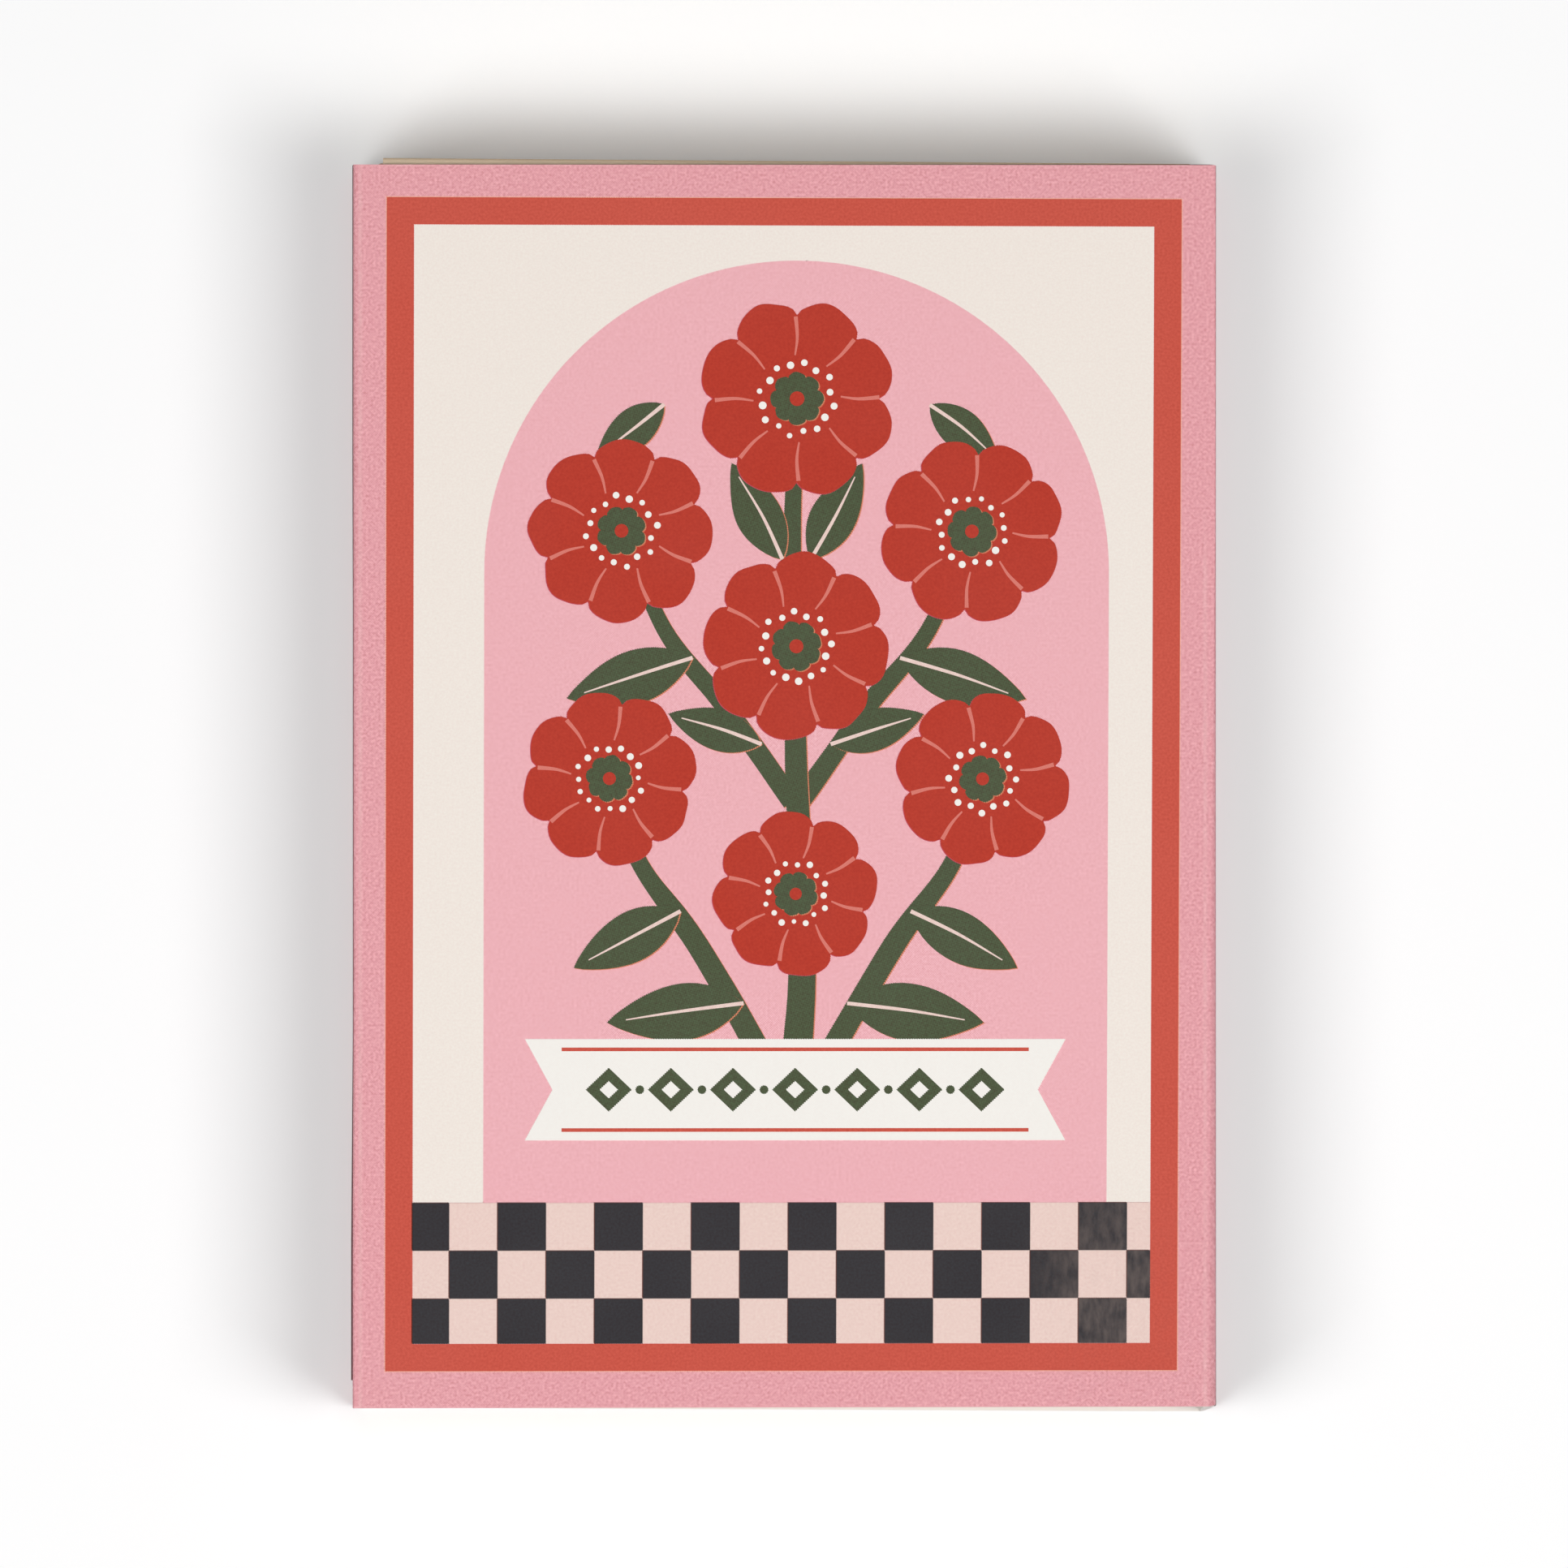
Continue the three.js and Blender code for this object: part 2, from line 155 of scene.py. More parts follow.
viewSettings = {
    "distance": 2500 * mm,          # from the front panel
    "frameWidth": 136.15 * mm,      # what the picture spans at the front panel
    "aimX": -0.07 * mm,
    "aimY": 0.21 * mm,
    "clipEnd": 20,
}


def buildCamera():
    camera = bpy.data.cameras.new("productCamera")
    camera.sensor_fit = "HORIZONTAL"
    camera.angle = 2 * math.atan(viewSettings["frameWidth"] / 2 / viewSettings["distance"])
    camera.clip_end = viewSettings["clipEnd"]
    item = addItem("productCamera", camera)
    height = cadBounds[1][2] + viewSettings["distance"]
    item.location = (viewSettings["aimX"], viewSettings["aimY"], height)
    bpy.context.scene.camera = item


# each lamp: where it hangs, its size, and its share of the light on the front panel
lampSettings = {
    "rightSoftbox": {"place": (0.415, -0.1875, 1.0), "size": (0.40, 0.575), "share": 0.452},
    "leftSoftbox": {"place": (-0.4075, -0.1875, 1.0), "size": (0.385, 0.575), "share": 0.395},
    "overhead": {"place": (0.0, 0.30, 2.6), "size": (0.50, 0.40), "share": 0.10},
}
worldShare = 0.055
floorSettings = {
    "halfWidth": 6.0,
    "albedo": 0.86,
    "cameraLift": 0.165,            # brightens the floor where it is seen, and lights nothing
    "drop": 0.05 * mm,              # keeps the floor off the box's underside
}


def buildLamps():
    for name, choice in lampSettings.items():
        place = Vector(choice["place"])
        lamp = bpy.data.lights.new(name, "AREA")
        lamp.shape = "RECTANGLE"
        lamp.size, lamp.size_y = choice["size"]
        facing = place.normalized().z
        lamp.energy = math.pi ** 2 * place.length_squared * choice["share"] / facing
        item = addItem(name, lamp)
        item.location = place
        item.rotation_euler = (-place).to_track_quat("-Z", "Y").to_euler()


def seenRays(tree):
    # 1 for what the camera sees, straight or in a mirror or glass
    rays = addNode(tree, "ShaderNodeLightPath", {})
    seen = mathNode(tree, "MAXIMUM", rays["Is Camera Ray"], rays["Is Glossy Ray"])
    return mathNode(tree, "MAXIMUM", seen, rays["Is Transmission Ray"])


def buildWorld():
    world = bpy.data.worlds.new("studio")
    bpy.context.scene.world = world
    world.use_nodes = True
    tree = world.node_tree
    strength = addNode(tree, "ShaderNodeMapRange",
                       {"Value": seenRays(tree), "To Min": worldShare, "To Max": 1.0})[0]
    fill(tree, tree.nodes["Background"], {"Color": (1, 1, 1, 1), "Strength": strength})


def buildFloor():
    size = floorSettings["halfWidth"]
    mesh = bpy.data.meshes.new("floor")
    corners = [(-size, -size), (size, -size), (size, size), (-size, size)]
    mesh.from_pydata([(x, y, -floorSettings["drop"]) for x, y in corners], [], [(0, 1, 2, 3)])
    floor = addItem("floor", mesh)
    material = bpy.data.materials.new("paleFloor")
    material.use_nodes = True
    tree = material.node_tree
    tree.nodes.clear()
    grey = (floorSettings["albedo"],) * 3 + (1,)
    matte = addNode(tree, "ShaderNodeBsdfDiffuse", {"Color": grey})
    gain = times(tree, seenRays(tree), floorSettings["cameraLift"])
    lift = addNode(tree, "ShaderNodeEmission", {"Strength": gain})
    both = addNode(tree, "ShaderNodeAddShader", {0: matte[0], 1: lift[0]})
    addNode(tree, "ShaderNodeOutputMaterial", {"Surface": both[0]})
    mesh.materials.append(material)


# Shader groups used by several finishes

def newGroup(name, inputs, outputs):
    group = bpy.data.node_groups.new(name, "ShaderNodeTree")
    for label, kind, value in inputs:
        socket = group.interface.new_socket(label, in_out="INPUT", socket_type="NodeSocket" + kind)
        socket.default_value = value
    for label, kind in outputs:
        group.interface.new_socket(label, in_out="OUTPUT", socket_type="NodeSocket" + kind)
    entry = group.nodes.new("NodeGroupInput")
    result = group.nodes.new("NodeGroupOutput")
    return group, entry.outputs, result.inputs


def mixColour(tree, mask, dark, light, blend="MIX"):
    return addNode(tree, "ShaderNodeMix", {0: mask, 6: dark, 7: light},
                   data_type="RGBA", blend_type=blend)[2]


def vectorNode(tree, operation, inputs):
    return addNode(tree, "ShaderNodeVectorMath", inputs, operation=operation)[0]


def objectPlace(tree):
    return addNode(tree, "ShaderNodeTexCoord", {})["Object"]


def axes(tree, place):
    return addNode(tree, "ShaderNodeSeparateXYZ", {0: place})


def drawnOut(tree, place, share):
    # a pattern read through this is longer along Y
    return addNode(tree, "ShaderNodeMapping", {"Vector": place, "Scale": (1, share, 1)})[0]


def noiseMask(tree, place, scale, detail):
    return addNode(tree, "ShaderNodeTexNoise",
                   {"Vector": place, "Scale": scale, "Detail": detail})["Fac"]


def aboutZero(tree, value):
    return mathNode(tree, "SUBTRACT", value, 0.5)


def band(tree, value, start, end):
    # 0 at start, 1 at end, smooth between them
    return addNode(tree, "ShaderNodeMapRange",
                   {"Value": value, "From Min": start, "From Max": end},
                   interpolation_type="SMOOTHSTEP")["Result"]


screenSettings = {
    "pitch": 0.148 * mm,
    "grainScale": 4700,
    "channels": (0.5, 1, 1),        # less in red, which the pink and red inks leave almost alone
}


def buildHalftoneGroup():
    # rows of round dots at a slant, as an offset press lays them
    group, entry, result = newGroup(
        "halftoneScreen",
        [("Ink", "Color", (1, 1, 1, 1)), ("Pitch", "Float", screenSettings["pitch"]),
         ("Angle", "Float", math.radians(45)), ("Contrast", "Float", 0.1),
         ("Grain", "Float", 0.1)],
        [("Color", "Color")])
    place = objectPlace(group)
    turned = addNode(group, "ShaderNodeVectorRotate",
                     {"Vector": place, "Angle": entry["Angle"]}, rotation_type="Z_AXIS")[0]
    waves = []
    for distance in axes(group, turned)[:2]:
        cycles = mathNode(group, "DIVIDE", distance, entry["Pitch"])
        waves.append(mathNode(group, "COSINE", times(group, cycles, 2 * math.pi)))
    swing = times(group, mathNode(group, "ADD", *waves), 0.5, entry["Contrast"])
    speckle = noiseMask(group, place, screenSettings["grainScale"], 1)
    uneven = times(group, aboutZero(group, speckle), entry["Grain"])
    both = mathNode(group, "ADD", swing, uneven)
    vary = vectorNode(group, "MULTIPLY_ADD",
                      {0: both, 1: screenSettings["channels"], 2: (1, 1, 1)})
    scaled = vectorNode(group, "MULTIPLY", {0: entry["Ink"], 1: vary})
    group.links.new(scaled, result["Color"])
    return group


fibreSettings = {"drawnOut": 0.45, "mottleScale": 90, "roughnessSwing": 0.3}


def buildFibreGroup():
    # short pressed fibres: a slow mottle for colour and a fine relief for bump
    group, entry, result = newGroup(
        "cardFibre",
        [("Base", "Color", (1, 1, 1, 1)), ("Mottle", "Float", 0.03),
         ("Fibre Size", "Float", 0.4 * mm)],
        [("Color", "Color"), ("Relief", "Float"), ("Roughness Shift", "Float")])
    place = objectPlace(group)
    scale = mathNode(group, "DIVIDE", 1.0, entry["Fibre Size"])
    fine = noiseMask(group, drawnOut(group, place, fibreSettings["drawnOut"]), scale, 3)
    slow = aboutZero(group, noiseMask(group, place, fibreSettings["mottleScale"], 4))
    both = mathNode(group, "ADD", aboutZero(group, fine), slow)
    gain = mathNode(group, "ADD", times(group, both, entry["Mottle"]), 1.0)
    group.links.new(vectorNode(group, "SCALE", {0: entry["Base"], "Scale": gain}), result["Color"])
    group.links.new(fine, result["Relief"])
    group.links.new(times(group, slow, fibreSettings["roughnessSwing"]), result["Roughness Shift"])
    return group


wearAndLightSettings = {
    "creaseX": 36.68 * mm,
    "creaseShift": 0.18 * mm,
    "creaseWidth": 0.30 * mm,
    "creaseStrength": 0.30,
    "rightCrease": (27 * mm, 16 * mm),      # the right fold is creased only in its lower part, and only there gets its pale line of painted highlight and cracked ink
    "rimY": (53.70 * mm, 53.95 * mm),
    "rimStrength": 0.18,
    "frontZ": (19.5 * mm, 19.9 * mm),
    # where the painted sheen lies, and its streaks
    "sheenX": (20 * mm, 26.5 * mm),
    "sheenY": (-30 * mm, -42 * mm),
    "breakScale": 700,
    "streakScale": 1500,
    "streakDrawnOut": 0.4,
}


def buildWearAndLightGroup():
    # ink cracked along the folds and cut ends, with a painted highlight along the folds, and a
    # painted sheen in streaks by the lower right corner
    group, entry, result = newGroup(
        "boxWearAndLight", [("Sheen Amount", "Float", 0.1)], [("Cracked And Highlight", "Float"), ("Painted Sheen", "Float")])
    place = objectPlace(group)
    x, y, z = axes(group, place)
    # a pale line along each fold, painted highlight and cracked ink
    across = mathNode(group, "ABSOLUTE", mathNode(group, "ADD", x, wearAndLightSettings["creaseShift"]))
    away = mathNode(group, "ABSOLUTE",
                    mathNode(group, "SUBTRACT", across, wearAndLightSettings["creaseX"]))
    creased = mathNode(group, "MAXIMUM", band(group, x, 1 * mm, -1 * mm),
                       band(group, y, *wearAndLightSettings["rightCrease"]))
    crease = times(group, band(group, away, wearAndLightSettings["creaseWidth"], 0.0), creased,
                   wearAndLightSettings["creaseStrength"])
    rim = times(group, band(group, mathNode(group, "ABSOLUTE", y), *wearAndLightSettings["rimY"]),
                wearAndLightSettings["rimStrength"])
    front = band(group, z, *wearAndLightSettings["frontZ"])
    breaks = band(group, noiseMask(group, place, wearAndLightSettings["breakScale"], 4), 0.35, 0.75)
    patchy = mathNode(group, "ADD", times(group, breaks, 0.6), 0.4)
    crackedAndHighlight = times(group, mathNode(group, "MAXIMUM", crease, rim), front, patchy)
    group.links.new(crackedAndHighlight, result["Cracked And Highlight"])
    # a painted sheen in streaks over the lower right corner
    sheenStreakPlace = drawnOut(group, place, wearAndLightSettings["streakDrawnOut"])
    streaks = noiseMask(group, sheenStreakPlace, wearAndLightSettings["streakScale"], 3)
    paintedSheen = times(group, band(group, x, *wearAndLightSettings["sheenX"]),
                   band(group, y, *wearAndLightSettings["sheenY"]), band(group, streaks, 0.2, 0.8),
                   entry["Sheen Amount"])
    group.links.new(paintedSheen, result["Painted Sheen"])
    return group


halftoneScreen = buildHalftoneGroup()
cardFibre = buildFibreGroup()
boxWearAndLight = buildWearAndLightGroup()


def newFinish(name):
    material = bpy.data.materials.new(name)
    material.use_nodes = True
    return material, material.node_tree, material.node_tree.nodes["Principled BSDF"]


def addGroup(tree, group, values):
    # a group node's sockets are there only once it has its tree
    return addNode(tree, "ShaderNodeGroup", values, node_tree=group)


def bump(tree, height, distance):
    return addNode(tree, "ShaderNodeBump", {"Distance": distance, "Height": height})[0]


# offset ink on coated board: dots, board fibres under them, wear where it was handled, a painted
# highlight along the folds and a painted sheen by the lower right corner
def printedFinish(name, colour, contrast, grain, angle=45, roughness=0.55, sheenAmount=0.05):
    material, tree, shader = newFinish(name)
    dots = addGroup(tree, halftoneScreen, {"Ink": colour, "Contrast": contrast, "Grain": grain,
                                           "Angle": math.radians(angle)})
    fibre = addGroup(tree, cardFibre,
                     {"Base": dots["Color"], "Mottle": 0.03, "Fibre Size": 0.5 * mm})
    wearAndLight = addGroup(tree, boxWearAndLight, {"Sheen Amount": sheenAmount})
    # the painted sheen first, then the painted highlight and cracked ink
    inked = mixColour(tree, wearAndLight["Painted Sheen"], fibre["Color"], palette["paintedSheenInk"])
    inkCrackedAndHighlit = mixColour(tree, wearAndLight["Cracked And Highlight"], inked, palette["crackedInkAndHighlight"])
    rough = mathNode(tree, "ADD", fibre["Roughness Shift"], roughness)
    fill(tree, shader, {"Base Color": inkCrackedAndHighlit, "Roughness": rough, "Specular IOR Level": 0.12,
                        "Normal": bump(tree, fibre["Relief"], 0.004 * mm)})
    return material


def bareBoardFinish():
    material, tree, shader = newFinish("bareBoardBack")
    fibre = addGroup(tree, cardFibre, {"Base": palette["bareBoard"], "Mottle": 0.05,
                                       "Fibre Size": 0.35 * mm})
    fill(tree, shader, {"Base Color": fibre["Color"], "Roughness": 0.9,
                        "Normal": bump(tree, fibre["Relief"], 0.02 * mm)})
    return material


# heights from the tray's underside and its top edge between which the kraft turns pale; the pale
# top edge is also a painted highlight on the rolled end, which lies in shade
kraftSettings = {"rolledEdge": (1.1 * mm, 0.2 * mm), "paleLitTopEdge": (0.55 * mm, 0.05 * mm),
                 "rolledPale": 0.25, "topEdgePaleAndLit": 0.95}


def trayFinish():
    material, tree, shader = newFinish("kraftBoard")
    fibre = addGroup(tree, cardFibre, {"Base": palette["kraft"], "Mottle": 0.20,
                                       "Fibre Size": 0.3 * mm})
    low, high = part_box("tray")
    z = axes(tree, objectPlace(tree))[2]
    start, end = kraftSettings["rolledEdge"]
    fold = times(tree, band(tree, z, low.z + start, low.z + end), kraftSettings["rolledPale"])
    # the paler top edge also paints a highlight on the rolled end, which lies in shade
    start, end = kraftSettings["paleLitTopEdge"]
    paleLitTop = times(tree, band(tree, z, high.z - start, high.z - end), kraftSettings["topEdgePaleAndLit"])
    pale = mixColour(tree, fold, fibre["Color"], palette["kraftPaleAndLit"])
    fill(tree, shader, {"Base Color": mixColour(tree, paleLitTop, pale, palette["kraftPaleAndLit"]),
                        "Roughness": 0.88, "Specular IOR Level": 0.25,
                        "Normal": bump(tree, fibre["Relief"], 0.03 * mm)})
    return material


coatSettings = {"gritScale": 4200, "patchScale": 260, "patchGain": 1.7}


def strikerFinish():
    material, tree, shader = newFinish("frictionCoat")
    place = objectPlace(tree)
    grit = addNode(tree, "ShaderNodeTexVoronoi", {"Vector": place,
                                                   "Scale": coatSettings["gritScale"]})["Distance"]
    patches = noiseMask(tree, place, coatSettings["patchScale"], 5)
    dark = palette["striker"]
    pale = tuple(min(1.0, value * coatSettings["patchGain"]) for value in dark[:3]) + (1.0,)
    colour = mixColour(tree, times(tree, patches, grit), dark, pale)
    fill(tree, shader, {"Base Color": colour, "Roughness": 0.95,
                        "Normal": bump(tree, grit, 0.08 * mm)})
    return material


def ownTone(tree, low, high):
    # each match has its own value between 0 and 1
    tone = addNode(tree, "ShaderNodeAttribute", {}, attribute_name="tone")["Fac"]
    return mathNode(tree, "ADD", times(tree, tone, high - low), low)


woodSettings = {
    "drawnOut": 0.035,
    "grainScale": 2600,
    "boardScale": 330,
    "streaks": (0.80, 0.70, 0.58),          # against the pale wood
    "darkest": (0.84, 0.70, 0.50, 1.0),     # against the mean splint
}


def splintFinish():
    material, tree, shader = newFinish("aspenSplint")
    place = drawnOut(tree, objectPlace(tree), woodSettings["drawnOut"])
    grain = noiseMask(tree, place, woodSettings["grainScale"], 4)
    board = noiseMask(tree, place, woodSettings["boardScale"], 2)
    pale = palette["splint"]
    brown = tuple(value * share for value, share in zip(pale, woodSettings["streaks"])) + (1.0,)
    streaks = mixColour(tree, times(tree, grain, board), pale, brown)
    tone = ownTone(tree, 0.0, 0.6)
    warm = mixColour(tree, tone, streaks, woodSettings["darkest"], "MULTIPLY")
    fill(tree, shader, {"Base Color": warm, "Roughness": 0.75,
                        "Normal": bump(tree, grain, 0.03 * mm)})
    return material


def headFinish():
    material, tree, shader = newFinish("dippedHead")
    grit = noiseMask(tree, objectPlace(tree), 2400, 3)
    dark = palette["head"]
    dusty = tuple(min(1.0, value * 1.5 + 0.02) for value in dark[:3]) + (1.0,)
    mottled = mixColour(tree, grit, dark, dusty)
    toned = mixColour(tree, ownTone(tree, 0.0, 0.5), mottled, (0.72, 0.62, 0.62, 1.0), "MULTIPLY")
    fill(tree, shader, {"Base Color": toned, "Roughness": 0.7,
                        "Normal": bump(tree, grit, 0.06 * mm)})
    return material


# each ink's dot contrast and grain, then its screen angle, roughness and painted sheen where they
# differ
inkSettings = {
    "borderPink": (0.26, 1.1),
    "archPink": (0.20, 0.6),
    "frameRed": (0.05, 0.6),
    "fieldCream": (0.01, 0.15, 75),
    "checkPale": (0.09, 0.35),
    # the dark checks take the strongest painted sheen
    "checkDark": (0.05, 1.1, 75, 0.5, 0.75),
    "blossomRed": (0.06, 0.6),
    "petalLight": (0.10, 0.20),
    "leafGreen": (0.40, 0.9, 75),
    "ribbonCream": (0.02, 0.06),
    "trapOrange": (0.10, 0.20),
    "trapMagenta": (0.10, 0.20),
    "trapBrown": (0.10, 0.20),
    "trapPeach": (0.10, 0.40),
}
finishes = {name: printedFinish(name + "Ink", palette[name], *choice)
            for name, choice in inkSettings.items()}
finishes["bareBoard"] = bareBoardFinish()
finishes["kraft"] = trayFinish()
finishes["striker"] = strikerFinish()
finishes["splint"] = splintFinish()
finishes["head"] = headFinish()
print("finishes ready")

# Printed sleeve

sleeveLow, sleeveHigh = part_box("sleeve")
sleeveSettings = {
    "board": 0.5 * mm,
    "fold": 0.9 * mm,
    "glueFlap": 14 * mm,
    "backShiftLeft": 0.36 * mm,     # how much nearer the bottom end the back panel sits
    "backShiftRight": 0.70 * mm,
    "cornerRise": 0.16 * mm,        # the front panel is this much shorter at its right side
    # how far the walls stand off, from the bottom end to the top end
    # how far the walls stand off in mm, against the share from the bottom end to the top end
    "leftBow": [(0, 0.10), (0.13, 0.10), (0.2, 0.0), (0.3, -0.15), (0.65, -0.15), (0.76, -0.09),
                (1, -0.09)],
    "rightBow": [(0, -0.27), (0.5, -0.31), (1, -0.27)],
    "bowInset": 2.0 * mm,           # from here outwards the bow sets in
    "bowBlend": 1.2 * mm,
    "bowRounding": 0.4,
    # width and slope of the flattened strip beside each fold at the front panel
    "leftBevel": [(0, 0.12), (0.25, 0.20), (0.7, 0.42), (1, 0.42)],
    "rightBevel": [(0, 0.66), (0.2, 0.62), (0.45, 0.46), (0.78, 0.0), (1, 0.0)],
    "bevelSlope": (math.tan(math.radians(18)), math.tan(math.radians(38))),
    "bevelDepth": 1.8 * mm,         # it fades out this far below the front panel
    "bevelFade": 0.9 * mm,
    "besideFold": (0.29, 0.38, 0.47, 0.56, 0.64, 0.72, 0.9, 1.2),   # where it may crease
    "frontRise": 0.7 * mm,          # from the solid's lowest point to the front panel's bottom end
    "crush": 0.19 * mm,             # the right corners are knocked back
    "crushReach": 0.8 * mm,
    "frontFold": 0.23 * mm,
    "wallShiftLess": 0.34 * mm,
    "wallBlend": 1.0 * mm,
    "arcSteps": 8,
    "stations": 40,
    "panelStep": 6 * mm,
}


def arc(centreX, centreZ, radius, start, end, steps):
    return [polar(centreX, centreZ, radius, math.radians(start + (end - start) * step / steps))
            for step in range(steps + 1)]


def between(table, share):
    # a value in millimetres read off a short table, given in metres
    for (start, low), (end, high) in zip(table, table[1:]):
        if share <= end:
            return (low + (high - low) * max(0.0, share - start) / (end - start)) * mm
    return table[-1][1] * mm


def sleeveOutlines():
    board, fold, steps = sleeveSettings["board"], sleeveSettings["fold"], sleeveSettings["arcSteps"]
    left, right = sleeveLow.x, sleeveHigh.x
    bottom, top = sleeveLow.z, sleeveHigh.z
    outside = arc(right - fold, bottom + fold, fold, -90, 0, steps)
    tight = sleeveSettings["frontFold"]
    outside += arc(right - tight, top - tight, tight, 0, 90, steps)
    outside += [(right - offset * mm, top) for offset in sleeveSettings["besideFold"]]
    outside += [(left + offset * mm, top) for offset in reversed(sleeveSettings["besideFold"])]
    outside += arc(left + tight, top - tight, tight, 90, 180, steps)
    outside += arc(left + fold, bottom + fold, fold, 180, 270, steps)
    inner = fold - board
    flapFace = right - 2 * board
    flapTop = bottom + board + sleeveSettings["glueFlap"]
    inside = arc(flapFace - inner, bottom + fold, inner, -90, 0, steps)
    inside += [(flapFace, flapTop - 0.15 * mm), (flapFace + 0.15 * mm, flapTop),
               (right - board, flapTop)]
    inside += arc(right - fold, top - fold, inner, 0, 90, steps)
    inside += arc(left + fold, top - fold, inner, 90, 180, steps)
    inside += arc(left + fold, bottom + fold, inner, 180, 270, steps)
    return outside, inside


def subdivideLoop(points, longest):
    result = []
    for index, point in enumerate(points):
        following = points[(index + 1) % len(points)]
        length = math.dist(point, following)
        pieces = max(1, math.ceil(length / longest))
        for step in range(pieces):
            share = step / pieces
            result.append((point[0] + (following[0] - point[0]) * share,
                           point[1] + (following[1] - point[1]) * share))
    return result


def wallBow(x, z, share):
    # how far a side wall stands off its flat place
    edge = max(abs(sleeveLow.x), sleeveHigh.x)
    nearness = clamped((abs(x) - (edge - sleeveSettings["bowInset"])) / sleeveSettings["bowBlend"])
    arch = math.sin(math.pi * (z - sleeveLow.z) / (sleeveHigh.z - sleeveLow.z))
    height = max(0.0, arch) ** sleeveSettings["bowRounding"]
    if x < 0:
        return -between(sleeveSettings["leftBow"], share) * nearness * height
    return between(sleeveSettings["rightBow"], share) * nearness * height


def bevelDrop(x, z, share):
    # how far the front panel falls away beside its folds
    slopeLeft, slopeRight = sleeveSettings["bevelSlope"]
    if x < 0:
        inside = between(sleeveSettings["leftBevel"], share) + sleeveLow.x - x
        drop = max(0.0, inside) * slopeLeft
    else:
        inside = x - sleeveHigh.x + between(sleeveSettings["rightBevel"], share)
        drop = max(0.0, inside) * slopeRight
    height = z - sleeveHigh.z + sleeveSettings["bevelDepth"]
    return drop * clamped(height / sleeveSettings["bevelFade"])


def rackedY(x, share, z):
    # share runs from the bottom end, 0, to the top end, 1
    # the tube leans, so what is deeper than the front panel sits nearer the bottom end
    across = (x - sleeveLow.x) / (sleeveHigh.x - sleeveLow.x)
    depth = (sleeveHigh.z - z) / (sleeveHigh.z - sleeveLow.z)
    rise = sleeveSettings["cornerRise"] * across * (1 - depth)
    frontLow = sleeveLow.y + sleeveSettings["frontRise"] + rise
    shift = sleeveSettings["backShiftLeft"] * (1 - across)
    shift += sleeveSettings["backShiftRight"] * across
    atWall = clamped((x - sleeveHigh.x) / sleeveSettings["wallBlend"] + 1)
    shift -= sleeveSettings["wallShiftLess"] * atWall
    y = frontLow + (sleeveHigh.y - frontLow) * share - shift * depth
    # the knocked corners, only beside the front panel and at the very ends
    beside = max(0.0, (x - sleeveHigh.x) / sleeveSettings["crushReach"] + 1)
    pressed = sleeveSettings["crush"] * (beside * max(0.0, 1 - depth * 5)) ** 2
    reach = max(0.0, 1 - min(share, 1 - share) * 90)
    return y + (pressed if share < 0.5 else -0.5 * pressed) * reach


def buildSleeve():
    outside, inside = (subdivideLoop(loop, sleeveSettings["panelStep"])
                       for loop in sleeveOutlines())
    stations = sleeveSettings["stations"]
    # closer together at the two ends, where the corners are pressed
    shares = [0, 0.003, 0.008] + [k / stations for k in range(1, stations)] + [0.992, 0.997, 1]
    work = bmesh.new()
    rings = []
    for loop in (outside, inside):
        grid = []
        for share in shares:
            row = []
            for x, z in loop:
                bowed, dropped = x + wallBow(x, z, share), z - bevelDrop(x, z, share)
                row.append(work.verts.new((bowed, rackedY(x, share, z), dropped)))
            grid.append(row)
        rings.append(grid)
    for material, grid in enumerate(rings):
        for near, far in zip(grid, grid[1:]):
            for index in range(len(near)):
                after = (index + 1) % len(near)
                face = work.faces.new((near[index], near[after], far[after], far[index]))
                face.material_index = material
                face.smooth = True
    for end in (0, -1):
        rim = [work.edges.get((row[i], row[(i + 1) % len(row)]))
               for row in (rings[0][end], rings[1][end]) for i in range(len(row))]
        made = bmesh.ops.triangle_fill(work, edges=rim, use_beauty=True)
        for piece in made["geom"]:
            if isinstance(piece, bmesh.types.BMFace):
                piece.material_index = 1
    mesh = closeWork(work, "sleeveCard", finishes["borderPink"], finishes["bareBoard"])
    mesh.set_sharp_from_angle(angle=math.radians(50))
    sleeve = addItem("sleeveCard", mesh)
    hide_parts("sleeve")
    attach(sleeve, "sleeve")


# Print on the front panel: each ink is a thin film with its own outlines, in millimetres

printSettings = {
    "lean": 0.0028,                 # how far out of square the sheet was printed and cut
    "dip": -0.0008,
    "taper": (4.0e-5, -4.5e-5),
    "shiftX": -0.19,
    "shiftY": 0.17,
    "filmThickness": 0.006,
    "serrationStep": 0.105,
    "serrationDepth": 0.03,
    "frameWidth": 68.9,
    "frameLength": 101.82,
    "frameBand": 2.37,
    "edgeShows": 0.07,              # how far the paler plate reaches past the red frame
    "archX": 0.97,
    "archWidth": 54.2,
    "archTopGap": 3.05,
    "archSteps": 96,
    "checkPitch": (4.21, 4.16),     # along a row, and from row to row
    "checksHeight": 12.23,
    "firstCheckWidth": 3.2,
    "checkMisfit": (-0.07, 0.04),
}


def rectangle(left, right, bottom, top):
    return [(left, bottom), (right, bottom), (right, top), (left, top)]


def signedArea(loop):
    return sum(a[0] * b[1] - b[0] * a[1] for a, b in zip(loop, loop[1:] + loop[:1])) / 2


def serrate(loop):
    # the edge of a screened ink follows its dots
    result = []
    for index, point in enumerate(subdivideLoop(loop, printSettings["serrationStep"])):
        offset = printSettings["serrationDepth"] * (1 if index % 2 else -1)
        result.append((point[0] + offset, point[1] - offset))
    return result


